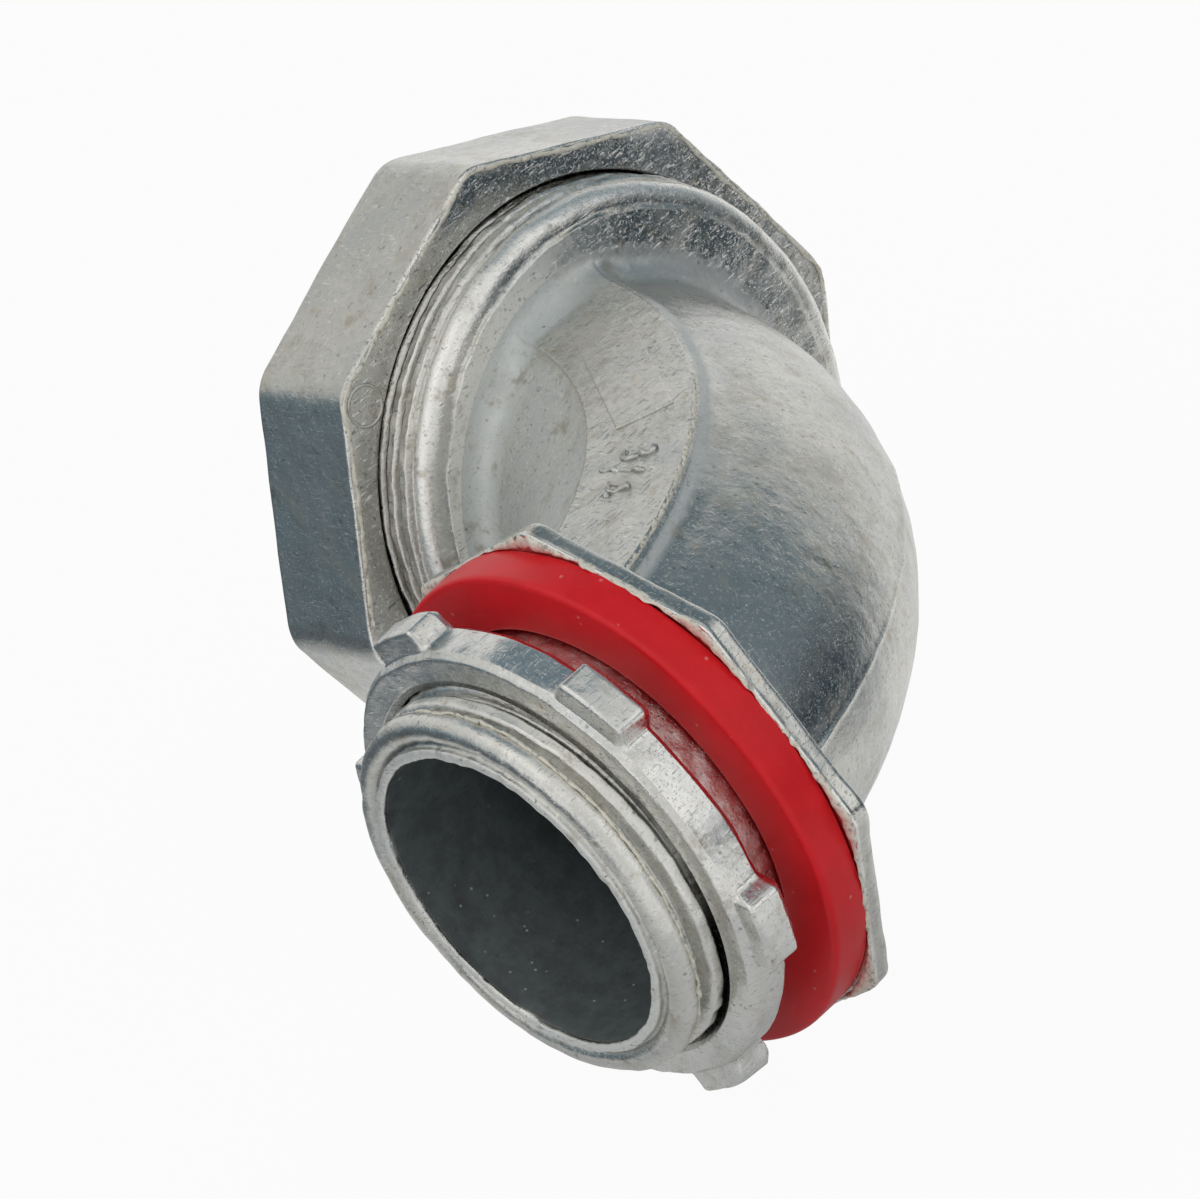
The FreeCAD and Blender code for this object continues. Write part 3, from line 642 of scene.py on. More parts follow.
def locknut(material):
    """A closed ring around the hub axis between two profiles, a plain rim and a lug: every column takes a
    share of the lug's profile, which rises with a little draft at the lug's sides. No line is long enough to
    be divided, so both profiles have as many rows. The bore follows the hub's thread."""
    lugs = LUG_FIRST + even_turn(LUG_COUNT)
    sides = np.concatenate([lugs - LUG_HALF_TURN, lugs + LUG_HALF_TURN])
    angle = crowded_turn(264, sides, math.radians(2.6), 3.2)
    off_lug = np.abs((angle[:, None] - lugs + math.pi) % TAU - math.pi).min(axis=1)
    draft = math.radians(1.5)
    lug_share = 1 - smooth_step(LUG_HALF_TURN - draft, LUG_HALF_TURN + draft, off_lug)
    front, back, bore, rim = LOCKNUT_FRONT, LOCKNUT_BACK, LOCKNUT_BORE, LOCKNUT_RIM
    sink = 0.3
    shelf = front + 0.4
    way_in = ((front + sink, bore, 0.1), (front, bore + sink, 0.12))
    way_out = ((back, bore + sink, 0.12), (back - sink, bore, 0.1))
    plain = ((front, rim - 0.35, 0.3), (front + 0.45, rim - 0.02, 0.25), (front + 0.9, rim, 0.1),
             (back - 0.4, rim, 0.1), (back, rim - 0.25, 0.2))
    raised = ((front, rim - 0.45, 0.25), (shelf, rim - 0.1, 0.2), (shelf, LUG_TIP - 0.1, 0.3),
              (back - 0.5, LUG_TIP, 0.3), (back, LUG_TIP - 0.4, 0.25))
    low, high = (rounded_run(way_in + side + way_out, 40.0, 5)[:-2, :, None] for side in (plain, raised))
    y, radius = (low[:, k] + lug_share * (high[:, k] - low[:, k]) for k in range(2))
    down = np.linspace(back - sink - 0.1, front + sink + 0.1, 16)[:, None]
    y = np.concatenate([y, down + 0 * angle])
    radius = np.concatenate([radius, np.minimum(hub_thread(angle, down)[0] + THREAD_PLAY, bore)])
    grid = hub_ring(angle, y, radius)
    outer = smooth_step(bore + 0.2, bore + 0.8, radius)
    grid = lift(grid, (0.03 * ripple(grid, 3.2, 51) + 0.012 * ripple(grid, 1.1, 52)) * outer)
    marks = {"felt": np.full(grid.shape[:2], 0.95)}
    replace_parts(ring_piece("locknut_casting", grid, material, "locknut", marks), "locknut")


def sealing_washer(material):
    """A soft ring turned about the hub axis: flat faces, a rim that is rounded at the front and drawn in a
    little at the back, and a slow random waviness."""
    front, back, bore = washer_low[1], WASHER_BACK, LOCKNUT_BORE
    profile = rounded_run([
        (front, bore, 0.25), (front, WASHER_RIM, 0.45), (back - 1.0, WASHER_RIM, 0.4),
        (back, WASHER_RIM - 0.06, 0.15), (back, bore, 0.15)], 0.5, 8)
    grid = lathe(hub_ring, even_turn(256), profile)
    grid = lift(grid, 0.02 * ripple(grid, 9.0, 61))
    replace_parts(ring_piece("sealing_washer_ring", grid, material, "washer"), "sealing_washer")


def nylon_ring(material):
    """A tapered ring turned about the conduit axis, with softened edges."""
    tip, far = -ring_high[0], -ring_low[0]
    inner, rim = 13.85, ring_high[2]
    wall, bevel = 1.25, 0.4
    flange = COLLAR_END + 0.3
    profile = rounded_run([
        (tip, inner, 0.15), (far, inner, 0.2), (far, inner + wall + 0.1, 0.2), (flange + 1.1, rim, 0.2),
        (flange, rim, 0.15), (flange, inner + wall, 0.1), (tip + bevel, inner + wall, 0.15),
        (tip, inner + wall - bevel, 0.15)], 0.8)
    grid = lathe(collar_ring, even_turn(192), profile)
    ring = ring_piece("compression_ring_moulding", grid, material, "gland_ring")
    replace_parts(ring, "compression_ring")


def steel_ferrule(material):
    """A drawn cup with a sleeve, turned about the conduit axis, with softened edges."""
    start, sleeve_end = -ferrule_high[0], -ferrule_low[0]
    inside, rim, wall = PASSAGE_RADIUS - 0.1, ferrule_high[2], 0.9
    outside = inside + 0.7
    cup_end = -ring_high[0] - 2.05
    profile = rounded_run([
        (start, inside, 0.2), (sleeve_end, inside, 0.12), (sleeve_end, outside - 0.3, 0.1),
        (sleeve_end - 0.9, outside, 0.3), (start + wall, outside, 0.4), (start + wall, rim - wall, 0.4),
        (cup_end, rim - wall, 0.15), (cup_end, rim, 0.15), (start, rim, 0.5)], 0.8)
    grid = lathe(collar_ring, even_turn(192), profile)
    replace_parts(ring_piece("ferrule_cup", grid, material, "elbow"), "ferrule")


# Raised details of the casting.

PLATE_LENGTH = 16.2
PLATE_WIDTH = 4.0
PLATE_RISE = 0.13
PLATE_TURN = math.radians(90 - 33.2)
PLATE_ARM = BEND_RADIUS - 0.45


def on_pad(out, along, turn, arm):
    """Points of the upper pad from a place on the bend: out along the bend's radius and along its tangent."""
    radial = np.array([math.cos(turn), math.sin(turn), 0.0])
    tangent = np.array([-math.sin(turn), math.cos(turn), 0.0])
    base = BEND_CENTRE + arm * radial
    return base + np.asarray(out)[..., None] * radial + np.asarray(along)[..., None] * tangent


def blank_plate(material):
    """A low raised plate on the pad: a closed section with rounded upper edges, carried along the plate's
    length, and drawn in and down over the last stretch at each end."""
    edge, draft, sunk = PLATE_WIDTH / 2, 0.06, 0.25
    section = rounded_run([
        (-edge, -sunk, 0.02), (edge, -sunk, 0.02),
        (edge - draft, PLATE_RISE, 0.12), (-edge + draft, PLATE_RISE, 0.12)], 0.4)
    half = PLATE_LENGTH / 2
    close = half - np.array([0.0, 0.01, 0.03, 0.06, 0.1])
    along = np.concatenate([-close, np.linspace(-half + 0.4, half - 0.4, 32), close[::-1]])[:, None]
    drop = 0.07 * smooth_step(half - 0.07, half, np.abs(along)) ** 2
    out = section[:, 0] * (1 - 0.5 * drop / PLATE_WIDTH)
    grid = on_pad(out, along + 0 * out, PLATE_TURN, PLATE_ARM)
    rise = np.minimum(section[:, 1], PLATE_RISE - drop)
    worn = 0.012 * ripple(grid, 1.5, 71) * (section[:, 1] > 0)
    grid = grid + (PAD_TOP + rise + worn)[..., None] * UP
    capped_piece("blank_plate", grid, material, "elbow")


def ridge_grid(path, side, rise, half_width, height, sunk=0.12):
    """A thin ridge along a path: at each station an oval of eight points, as wide as its half width to each
    side, as high as its height on the upper half and sunk into the surface on the lower half."""
    around = (np.arange(8) + 0.5) * TAU / 8
    across = np.cos(around) * np.broadcast_to(half_width, path.shape[:1])[:, None]
    up = np.maximum(np.sin(around), 0) * np.broadcast_to(height, path.shape[:1])[:, None]
    up = up + np.minimum(np.sin(around), 0) * sunk
    side = np.broadcast_to(side, path.shape)
    rise = np.broadcast_to(rise, path.shape)
    return path[:, None] + across[..., None] * side[:, None] + up[..., None] * rise[:, None]


def nut_edge_bead(material):
    """A wandering bead of torn metal just inside the edge of the gland nut's back face."""
    angle = even_turn(760)
    outline = rounded_octagon(angle, NUT_HALF_FLATS, NUT_CORNER) - 0.33 + 0.05 * ragged(angle, 45, 9, 70)
    height = 0.15 * np.clip(0.8 + 0.35 * ragged(angle, 46, 30, 190), 0.25, 1.7)
    width = 0.17 + 0.03 * ragged(angle, 47, 20, 120)
    path = collar_ring(angle, NUT_BACK, outline)
    grid = ridge_grid(path, conduit_spokes(angle), TO_HUB, width, height)
    ring_piece("nut_edge_bead", grid, material, "gland_nut")


PIN_TURN = math.radians(136.3)
PIN_ARM = 20.3
PIN_RADIUS = 1.35


def nut_pin_mark(material):
    """The faint ring that a round ejector pin leaves on the nut's back face."""
    spokes = conduit_spokes(even_turn(72))
    centre = np.array([-NUT_BACK, CONDUIT_Y + PIN_ARM * math.cos(PIN_TURN), PIN_ARM * math.sin(PIN_TURN)])
    grid = ridge_grid(centre + PIN_RADIUS * spokes, spokes, TO_HUB, 0.12, 0.06)
    ring_piece("nut_pin_mark", grid, material, "gland_nut")


def flange_flash(material):
    """Torn flash around the flange's front edge: a ridge between two ragged lines, one just outside the
    washer and one near the octagon, with a ragged height."""
    angle = even_turn(1100)
    outline = rounded_octagon(angle, FLANGE_HALF_FLATS, FLANGE_CORNER)
    outer = outline - np.clip(0.05 * ragged(angle, 48, 9, 120), -0.1, 0.2)
    inner = WASHER_RIM + 0.02 + np.clip(0.07 * ragged(angle, 50, 8, 90), 0.0, 0.2)
    inner = np.minimum(inner, outer - 0.12)
    height = np.clip(0.2 + 0.07 * ragged(angle, 49, 10, 150), 0.1, 0.4)
    path = hub_ring(angle, FLANGE_FRONT + 0.06, (inner + outer) / 2)
    grid = ridge_grid(path, hub_spokes(angle), -TO_FLANGE, (outer - inner) / 2, height, 0.25)
    ring_piece("flange_flash", grid, material, "elbow")


def hub_flash(material):
    """Torn flash behind the rounded nose of the hub, strongest on the heel's side."""
    angle = even_turn(760)
    heel = 0.35 + 0.65 * smooth_step(-0.3, 0.5, np.cos(angle - math.radians(20)))
    height = heel * np.clip(0.07 + 0.06 * ragged(angle, 53, 24, 200), 0.0, 0.2)
    width = 0.11 + 0.03 * ragged(angle, 54, 16, 120)
    y = HUB_END + NOSE_LENGTH + 0.2 + 0.06 * ragged(angle, 55, 3, 40)
    path = hub_ring(angle, y, HUB_TIP_CREST - 0.05)
    grid = ridge_grid(path, TO_FLANGE, hub_spokes(angle), width, height)
    ring_piece("hub_flash", grid, material, "elbow")


def pad_flash(material):
    """Torn flash along the heel's side of the upper pad, from the flange to the middle of the bend, where it
    fades out."""
    start, fading, end = np.radians([15.5, 38, 50])
    turn = np.linspace(start, end, 330)
    radial = np.stack([np.cos(turn), np.sin(turn), 0 * turn], axis=-1)
    path = BEND_CENTRE + (BEND_RADIUS + PAD_HALF_WIDTH) * radial + (PAD_TOP - 0.2) * UP
    width = 0.1 + 0.06 * np.clip(ripple(path, 0.5, 57), -1, 1)
    torn = np.clip(0.1 + 0.12 * ripple(path, 0.7, 56), -0.1, 0.26)
    grid = ridge_grid(path, radial, UP, width, 0.16 + smooth_step(end, fading, turn) * torn)
    capped_piece("pad_flash", grid, material, "elbow")


MARK_TURN = math.radians(35.7)
MARK_ARM = 38.4
MARK_STEP = 0.08


def size_mark(material):
    """The size, 3/4, in raised strokes on the upper pad, read from the collar to the flange with its top
    towards the heel. A stroke is a line through its corners, stepped evenly, with a ridge along it that
    narrows at both ends."""
    bow = np.radians(np.linspace(150, -90, 16))
    hook = np.radians(np.linspace(90, -150, 16))
    upper = np.column_stack([0.5 * np.cos(bow), 0.72 + 0.5 * np.sin(bow)])
    lower = np.column_stack([0.58 * np.cos(hook), -0.36 + 0.58 * np.sin(hook)])
    strokes = {
        "mark_three": np.concatenate([upper, lower[1:]]) + (-1.75, 0.7),
        "mark_slash": np.array([[-0.8, -1.65], [0.8, 1.65]]),
        "mark_four": np.array([[0.3, 1.15], [-0.75, -0.4], [0.85, -0.4]]) + (2.1, -0.2),
        "mark_stem": np.array([[0.3, 1.15], [0.3, -1.25]]) + (2.1, -0.2)}
    for name, corners in strokes.items():
        length = np.concatenate([[0.0], np.cumsum(np.linalg.norm(np.diff(corners, axis=0), axis=1))])
        step = np.linspace(0, length[-1], int(length[-1] / MARK_STEP) + 2)
        read, up = (np.interp(step, length, corners[:, k]) for k in range(2))
        path = on_pad(up, -read, MARK_TURN, MARK_ARM) + (PAD_TOP - 0.02) * UP
        side = np.cross(UP, np.gradient(path, axis=0))
        side /= np.linalg.norm(side, axis=1)[:, None]
        ends = np.sqrt(np.clip(np.minimum(step, length[-1] - step) / 0.18 + 0.15, 0, 1))
        worn = np.clip(1 + 0.3 * ripple(path, 0.9, 58), 0.4, 1.5)
        grid = ridge_grid(path, side, UP, 0.22 * ends, 0.26 * ends * worn)
        capped_piece(name, grid, material, "elbow")


# Materials.

class Wire:
    """One output in a node tree. Arithmetic on wires and numbers adds Math nodes."""

    def __init__(self, finish, socket):
        self.finish = finish
        self.socket = socket

    def math(self, operation, first, second=0.0):
        return self.finish.node("ShaderNodeMath", {"operation": operation}, {0: first, 1: second})

    def __add__(self, other):
        return self.math("ADD", self, other)

    def __sub__(self, other):
        return self.math("SUBTRACT", self, other)

    def __rsub__(self, other):
        return self.math("SUBTRACT", other, self)

    def __mul__(self, other):
        return self.math("MULTIPLY", self, other)

    __radd__ = __add__
    __rmul__ = __mul__

    def step(self, low, high):
        """Zero below low, one above high, and an S-curve between them."""
        return self.finish.node(
            "ShaderNodeMapRange", {"interpolation_type": "SMOOTHSTEP"},
            {"Value": self, "From Min": low, "From Max": high})


class Finish:
    """The node tree of a material or a world, with one method that adds any node and short forms of the
    nodes that it uses often."""

    def __init__(self, owner):
        owner.use_nodes = True
        self.owner = owner
        self.tree = owner.node_tree
        self.tree.nodes.clear()

    def node(self, kind, settings, inputs, output=0):
        """Add a node: its settings first, then the values or links of its sockets."""
        made = self.tree.nodes.new(kind)
        for name, value in settings.items():
            setattr(made, name, value)
        for name, value in inputs.items():
            socket = made.inputs[name]
            if isinstance(value, Wire):
                self.tree.links.new(value.socket, socket)
            else:
                socket.default_value = value
        return Wire(self, made.outputs[output]) if len(made.outputs) else None

    def millimetres(self):
        """The place on the object, in millimetres."""
        place = self.node("ShaderNodeTexCoord", {}, {}, "Object")
        return self.node("ShaderNodeVectorMath", {"operation": "SCALE"}, {0: place, "Scale": 1 / MM})

    def turned(self, place, turn, scale):
        return self.node("ShaderNodeMapping", {}, {"Vector": place, "Rotation": turn, "Scale": scale})

    def measured(self, operation, place, other):
        """One number from two vectors, such as their dot product or the distance between them."""
        return self.node("ShaderNodeVectorMath", {"operation": operation}, {0: place, 1: other}, "Value")

    def noise(self, place, scale, detail=3.0, roughness=0.5, distortion=0.0):
        return self.node("ShaderNodeTexNoise", {}, {
            "Vector": place, "Scale": scale, "Detail": detail, "Roughness": roughness,
            "Distortion": distortion})

    def cells(self, place, scale):
        """Distance from the nearest of scattered points."""
        return self.node("ShaderNodeTexVoronoi", {}, {"Vector": place, "Scale": scale}, "Distance")

    def colour_mix(self, share, first, second):
        settings = {"data_type": "RGBA", "blend_type": "MIX"}
        return self.node("ShaderNodeMix", settings, {"Factor": share, 6: first, 7: second}, 2)

    def attribute(self, name):
        return self.node("ShaderNodeAttribute", {"attribute_name": name}, {}, "Fac")

    def ray(self, kind):
        """One where the ray is of this kind, and zero elsewhere."""
        return self.node("ShaderNodeLightPath", {}, {}, f"Is {kind} Ray")

    def bump(self, height, strength, distance):
        inputs = {"Height": height, "Strength": strength, "Distance": distance}
        return self.node("ShaderNodeBump", {}, inputs)

    def surface(self, inputs):
        """The finished material, with these inputs of its shader."""
        shader = self.node("ShaderNodeBsdfPrincipled", {}, inputs)
        self.node("ShaderNodeOutputMaterial", {}, {"Surface": shader})
        return self.owner


def rgb(red, green, blue):
    return (red, green, blue, 1.0)


def cast_zinc(name, light, dark, fibre_height, roughness, seed):
    """Die-cast zinc: metal mottled between a light and a dark grey, with wide flow patches, warm clouds, a
    felt of short fibres in two directions, whose pale raised and dark sunken colours are painted glints and
    painted shade, a few brown stains and small pits. The mesh's marks say where it is polished bright, where
    a dry haze dulls it and its pale colour paints light, how strong the felt is, and where the metal lies
    inside, in a dark wall colour that is painted shade, mottled and dusty. Each layer of colour covers a
    share of what lies under it."""
    finish = Finish(bpy.data.materials.new(name))
    place = finish.node("ShaderNodeVectorMath", {"operation": "ADD"},
                        {0: finish.millimetres(), 1: (seed * 7.3, seed * 3.1, seed * 5.7)})
    polish, inside, felt, haze = (finish.attribute(mark) for mark in ("polish", "inside", "felt", "haze"))
    patches = finish.noise(place, 0.13, 4.0, 0.6, 0.5)
    mottle = finish.noise(place, 2.2, 6.0, 0.75)
    dents = finish.noise(place, 0.8, 2.0, 0.5)
    clouds = finish.noise(place, 0.26, 4.0, 0.65, 0.6).step(0.50, 0.68)
    stains = finish.noise(place, 0.55, 5.0, 0.7).step(0.54, 0.70) * patches.step(0.38, 0.54)
    pits = 1 - finish.cells(place, 0.9).step(0.05, 0.16)
    dust = inside * patches.step(0.44, 0.56) * (1 - finish.cells(place, 1.1).step(0.06, 0.13))
    first = finish.noise(finish.turned(place, (0.5, 0.9, 0.3), (1.1, 5.0, 5.0)), 1.0, 2.0, 0.5, 0.4)
    second = finish.noise(finish.turned(place, (1.3, 0.2, 1.1), (5.0, 1.0, 5.0)), 1.0, 2.0, 0.5, 0.4)
    # Fibre colours are painted: pale raised fibres are painted glints and dark sunken fibres painted shade,
    # as strong as the felt.
    raised = felt * (first.step(0.60, 0.76) + second.step(0.60, 0.76))
    sunken_with_painted_shade = felt * (first.step(0.39, 0.25) + second.step(0.39, 0.25))
    shade = (0.5 * mottle + 0.5 * patches).step(0.38, 0.62)
    # The wall colour inside the casting is painted shade, mottled at random.
    wall = finish.colour_mix((0.4 * mottle + 0.6 * dents).step(0.40, 0.60),
                             rgb(0.030, 0.052, 0.064), rgb(0.072, 0.106, 0.122))
    colour = finish.colour_mix(shade, rgb(*dark), rgb(*light))
    layers = (
        (clouds * 0.3, rgb(0.44, 0.395, 0.315)),
        # The pale haze colour is painted light in the hollows, on the fillets and on the hub's lip.
        (haze * 0.75, rgb(0.78, 0.81, 0.81)),
        (polish * 0.85, rgb(0.95, 0.94, 0.90)),
        (raised * 0.6, rgb(0.88, 0.88, 0.86)),
        (sunken_with_painted_shade * 0.42, rgb(0.22, 0.23, 0.24)),
        (stains * 0.5, rgb(0.34, 0.28, 0.19)),
        (pits * 0.5, rgb(0.12, 0.13, 0.14)),
        (inside * 0.8, wall),
        (dust * 0.9, rgb(0.66, 0.69, 0.70)))
    for share, tint in layers:
        colour = finish.colour_mix(share, colour, tint)
    gloss = roughness + 0.12 * (1 - shade) + 0.08 * clouds + 0.06 * mottle + 0.3 * inside + 0.5 * haze
    height = raised - sunken_with_painted_shade + mottle * (1.1 + 3.0 * polish) - pits * 0.4 + dents * 5.5
    return finish.surface({
        "Base Color": colour, "Metallic": 1 - 0.75 * inside, "Roughness": gloss,
        "Normal": finish.bump(height, 1.0, fibre_height * MM)})


def torn_zinc():
    """Torn cast flash: pale, dry metal broken into cream and grey, with a rough surface."""
    finish = Finish(bpy.data.materials.new("torn_zinc"))
    place = finish.millimetres()
    broken = finish.noise(place, 2.4, 4.0, 0.65)
    grain = finish.noise(place, 7.0, 2.0, 0.5)
    colour = finish.colour_mix(broken.step(0.34, 0.48), rgb(0.42, 0.41, 0.38), rgb(0.86, 0.82, 0.72))
    return finish.surface({
        "Base Color": colour, "Metallic": 0.2, "Roughness": 0.5 + 0.1 * grain,
        "Normal": finish.bump(broken + 0.5 * grain, 0.9, 0.12 * MM)})


def red_vinyl():
    """Soft red vinyl: a clear red with a faint bloom, long scuffs, specks of dust, fine moulded grain and a
    satin shine."""
    finish = Finish(bpy.data.materials.new("red_vinyl"))
    place = finish.millimetres()
    bloom = finish.noise(place, 0.35, 4.0, 0.6)
    grain = finish.noise(place, 9.0, 2.0, 0.5)
    rubbed = finish.turned(place, (0.4, 0.7, 0.2), (1.0, 8.0, 8.0))
    scuffs = finish.noise(rubbed, 0.7, 3.0, 0.6).step(0.66, 0.76)
    dust = 1 - finish.cells(place, 0.55).step(0.03, 0.09)
    colour = finish.colour_mix(bloom.step(0.35, 0.7), rgb(0.76, 0.003, 0.010), rgb(0.84, 0.006, 0.016))
    colour = finish.colour_mix(scuffs * 0.18, colour, rgb(0.85, 0.35, 0.36))
    colour = finish.colour_mix(dust * 0.4, colour, rgb(0.85, 0.5, 0.48))
    return finish.surface({
        "Base Color": colour, "Roughness": 0.36 + 0.12 * bloom + 0.08 * scuffs, "Specular IOR Level": 0.4,
        "Normal": finish.bump(grain * 0.4 + bloom * 0.8, 0.35, 0.02 * MM)})


def white_nylon():
    """Milky nylon: off-white with faint clouding and fine moulding grain."""
    finish = Finish(bpy.data.materials.new("white_nylon"))
    place = finish.millimetres()
    cloud = finish.noise(place, 0.5, 4.0, 0.6)
    grain = finish.noise(place, 8.0, 2.0, 0.5)
    colour = finish.colour_mix(cloud.step(0.3, 0.7), rgb(0.70, 0.69, 0.65), rgb(0.80, 0.79, 0.76))
    return finish.surface({
        "Base Color": colour, "Roughness": 0.38 + 0.1 * cloud, "Normal": finish.bump(grain, 0.3, 0.015 * MM)})


def plated_steel():
    """Bright zinc-plated steel: pale metal with drawing lines along the conduit axis."""
    finish = Finish(bpy.data.materials.new("plated_steel"))
    place = finish.millimetres()
    lines = finish.noise(finish.turned(place, (0.0, 0.0, 0.0), (0.5, 7.0, 7.0)), 0.9, 3.0, 0.6)
    stain = finish.noise(place, 0.3, 4.0, 0.6)
    colour = finish.colour_mix(stain.step(0.35, 0.7), rgb(0.52, 0.54, 0.56), rgb(0.66, 0.67, 0.68))
    return finish.surface({
        "Base Color": colour, "Metallic": 1.0, "Roughness": 0.24 + 0.14 * lines,
        "Normal": finish.bump(lines, 0.3, 0.012 * MM)})


# Floor, light and camera.

FLOOR_HALF = 3000.0
FLOOR_Z = cad_box[0][2] / MM
# The point under the object where the floor's painted shadow is centred.
PAINTED_SHADOW_CENTRE = (8.0, -16.0, FLOOR_Z)


def direction(azimuth, elevation):
    """A unit vector: azimuth in degrees from +X towards +Y, elevation above the horizon."""
    a, e = math.radians(azimuth), math.radians(elevation)
    return (math.cos(a) * math.cos(e), math.sin(a) * math.cos(e), math.sin(e))


def pale_floor():
    """A level plane under the object. The camera sees it mostly as plain white, and the rest is lit, so that
    it keeps the object's soft shadow. The metal sees a glowing white sheet with painted shade in one corner
    and on the side across from it, and a painted shadow that halves its brightness under the object."""
    finish = Finish(bpy.data.materials.new("pale_floor"))
    seen = finish.ray("Camera") + finish.ray("Transmission")
    place = finish.millimetres()

    def along(azimuth):
        return finish.measured("DOT_PRODUCT", place, direction(azimuth, 0))

    # Painted shade on the floor for the metal to see: one dark corner, then a dark half across from it.
    corner = along(90).step(32.0, 58.0) * along(0).step(-2.0, 18.0)
    painted_floor_light = 1 - corner * (1 - 0.1 * along(90).step(100.0, 200.0))
    painted_floor_light = painted_floor_light * (1 - 0.92 * along(-150).step(25.0, 95.0) * (1 - along(90).step(60.0, 120.0)))
    # Painted shadow: the floor is about half as bright near the point under the object.
    away = finish.measured("DISTANCE", place, PAINTED_SHADOW_CENTRE)
    painted_floor_light = painted_floor_light * (0.48 + 0.52 * away.step(22.0, 60.0))
    painted_floor_light = 1 - (1 - painted_floor_light) * (1 - seen)
    paper_with_painted_shade = finish.colour_mix(painted_floor_light, rgb(0.04, 0.078, 0.115), rgb(0.88, 0.88, 0.87))
    lit = finish.node("ShaderNodeBsdfDiffuse", {}, {"Color": paper_with_painted_shade})
    white = finish.node("ShaderNodeEmission", {}, {"Color": rgb(1.0, 1.0, 1.0), "Strength": 1.0})
    share = seen * 0.94 + finish.ray("Glossy") * painted_floor_light * 0.69
    mixed = finish.node("ShaderNodeMixShader", {}, {"Fac": share, 1: lit, 2: white})
    finish.node("ShaderNodeOutputMaterial", {}, {"Surface": mixed})
    half = FLOOR_HALF * MM
    corners = np.array([[-half, -half], [half, -half], [half, half], [-half, half]])
    mesh = bpy.data.meshes.new("floor")
    mesh.from_pydata(np.column_stack([corners, np.full(4, FLOOR_Z * MM)]), [], [(0, 1, 2, 3)])
    mesh.materials.append(finish.owner)
    new_object("floor", mesh)


# Dark spots that overlap in a band, each an azimuth and an elevation.
DARK_BAND = ((64, -26), (64, -6), (66, 12), (73, 26), (83, 37), (94, 47), (112, 57), (128, 58))

# White sides, each an azimuth, an elevation, the cosine at its rim and a strength.
WHITE_SIDES = ((26, 9, 0.72, 1.0), (126, -8, 0.86, 1.0), (-92, 5, 0.80, 1.0), (143, 24, 0.93, 0.45))


def studio_world():
    """Soft light from all round, with a dark band that climbs on the right and a dark spot on the left.
    The camera sees white behind the floor, and shiny metal sees that white on the white sides."""
    world = bpy.data.worlds.new("studio")
    bpy.context.scene.world = world
    finish = Finish(world)
    way = finish.node("ShaderNodeTexCoord", {}, {}, "Generated")

    def towards(azimuth, elevation):
        return finish.measured("DOT_PRODUCT", way, direction(azimuth, elevation))

    lit = (1 - towards(-139, -3).step(0.86, 0.96)) * (1 - 0.3 * towards(-160, 0).step(0.80, 0.97))
    for azimuth, elevation in DARK_BAND:
        lit = lit * (1 - towards(azimuth, elevation).step(0.925, 0.975))
    room = finish.colour_mix(lit, rgb(0.13, 0.195, 0.24), rgb(0.69, 0.69, 0.675))
    open_side = 0.0
    for azimuth, elevation, rim, strength in WHITE_SIDES:
        open_side = open_side + strength * towards(azimuth, elevation).step(rim, 0.98)
    seen = finish.ray("Camera") + finish.ray("Transmission")
    white = finish.node("ShaderNodeMath", {"operation": "ADD", "use_clamp": True},
                        {0: seen, 1: finish.ray("Glossy") * lit * open_side})
    colour = finish.colour_mix(white, room, rgb(1.0, 1.0, 1.0))
    sky = finish.node("ShaderNodeBackground", {}, {"Color": colour, "Strength": 1.0})
    finish.node("ShaderNodeOutputWorld", {}, {"Surface": sky})


LAMP_AIM = np.array([-15.0, 22.0, 0.0])


def turn_and_place(thing, back, roll, position):
    """Put an object at a position with its local +Z along back, level and then rolled about it by degrees."""
    level = np.cross(UP, back)
    level /= np.linalg.norm(level)
    up = np.cross(back, level)
    cosine, sine = math.cos(math.radians(roll)), math.sin(math.radians(roll))
    matrix = np.eye(4)
    matrix[:3] = np.column_stack([
        cosine * level + sine * up, cosine * up - sine * level, back, position * MM])
    thing.matrix_world = matrix.T


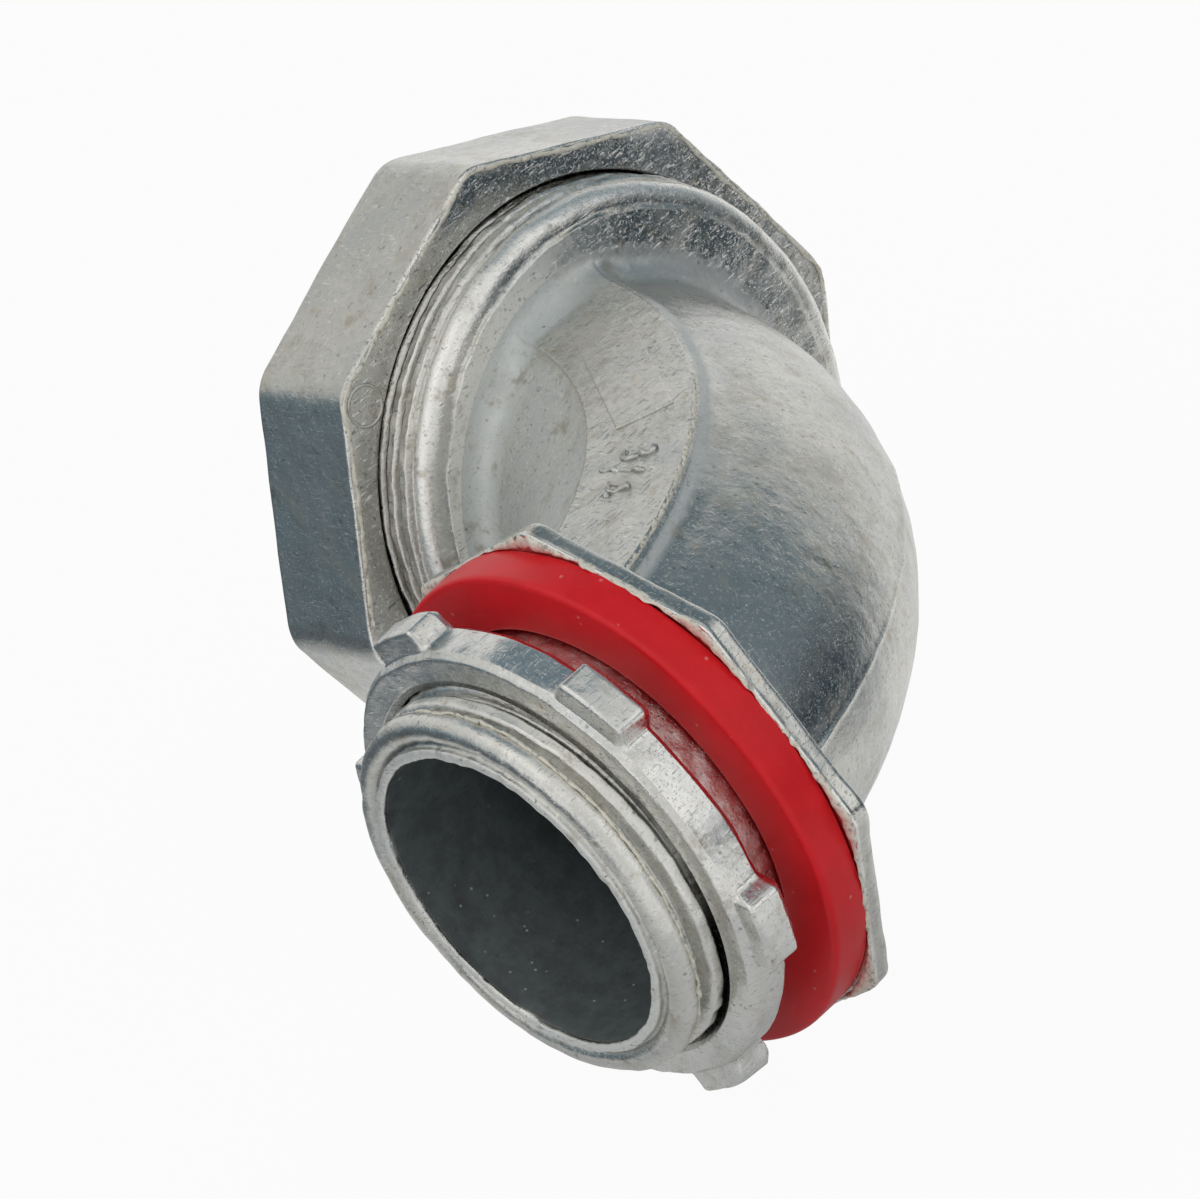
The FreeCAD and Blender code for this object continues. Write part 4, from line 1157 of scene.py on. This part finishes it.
def soft_lamp(name, azimuth, elevation, distance, size, power):
    """A square lamp that faces the middle of the object."""
    lamp = bpy.data.lights.new(name, "AREA")
    lamp.shape = "SQUARE"
    lamp.size = size * MM
    lamp.energy = power
    back = np.array(direction(azimuth, elevation))
    turn_and_place(new_object(name, lamp), back, 0.0, LAMP_AIM + distance * back)


CAMERA_AZIMUTH = -32.504
CAMERA_ELEVATION = 25.733
CAMERA_ROLL = -25.974
CAMERA_DISTANCE = 435.66
CAMERA_AIM = np.array([-16.027, 15.935, 2.514])
CAMERA_SENSOR = 36.0
CAMERA_LENS = 210.0


def photo_camera():
    """The camera that gives the photograph's view: it looks at its aim from a direction and a distance,
    rolled about its line of sight."""
    camera = bpy.data.cameras.new("camera")
    camera.sensor_width = CAMERA_SENSOR
    camera.lens = CAMERA_LENS
    thing = new_object("camera", camera)
    back = np.array(direction(CAMERA_AZIMUTH, CAMERA_ELEVATION))
    turn_and_place(thing, back, CAMERA_ROLL, CAMERA_AIM + CAMERA_DISTANCE * back)
    bpy.context.scene.camera = thing


LIGHT_ZINC = (0.63, 0.62, 0.575)
DARK_ZINC = (0.52, 0.53, 0.515)

body_zinc = cast_zinc("cast_zinc", LIGHT_ZINC, DARK_ZINC, 0.011, 0.16, 1)
nut_zinc = cast_zinc("nut_zinc", LIGHT_ZINC, DARK_ZINC, 0.011, 0.17, 2)
locknut_zinc = cast_zinc("locknut_zinc", (0.80, 0.79, 0.755), (0.68, 0.69, 0.675), 0.012, 0.16, 3)
flash_zinc = torn_zinc()

elbow_casting(body_zinc)
blank_plate(body_zinc)
size_mark(body_zinc)
pad_flash(flash_zinc)
flange_flash(flash_zinc)
hub_flash(flash_zinc)
gland_nut(nut_zinc)
nut_edge_bead(flash_zinc)
nut_pin_mark(nut_zinc)
locknut(locknut_zinc)
sealing_washer(red_vinyl())
nylon_ring(white_nylon())
steel_ferrule(plated_steel())

pale_floor()
studio_world()
soft_lamp("key_lamp", azimuth=-70, elevation=62, distance=420, size=300, power=0.10)
photo_camera()
bpy.context.scene.view_settings.view_transform = "Standard"
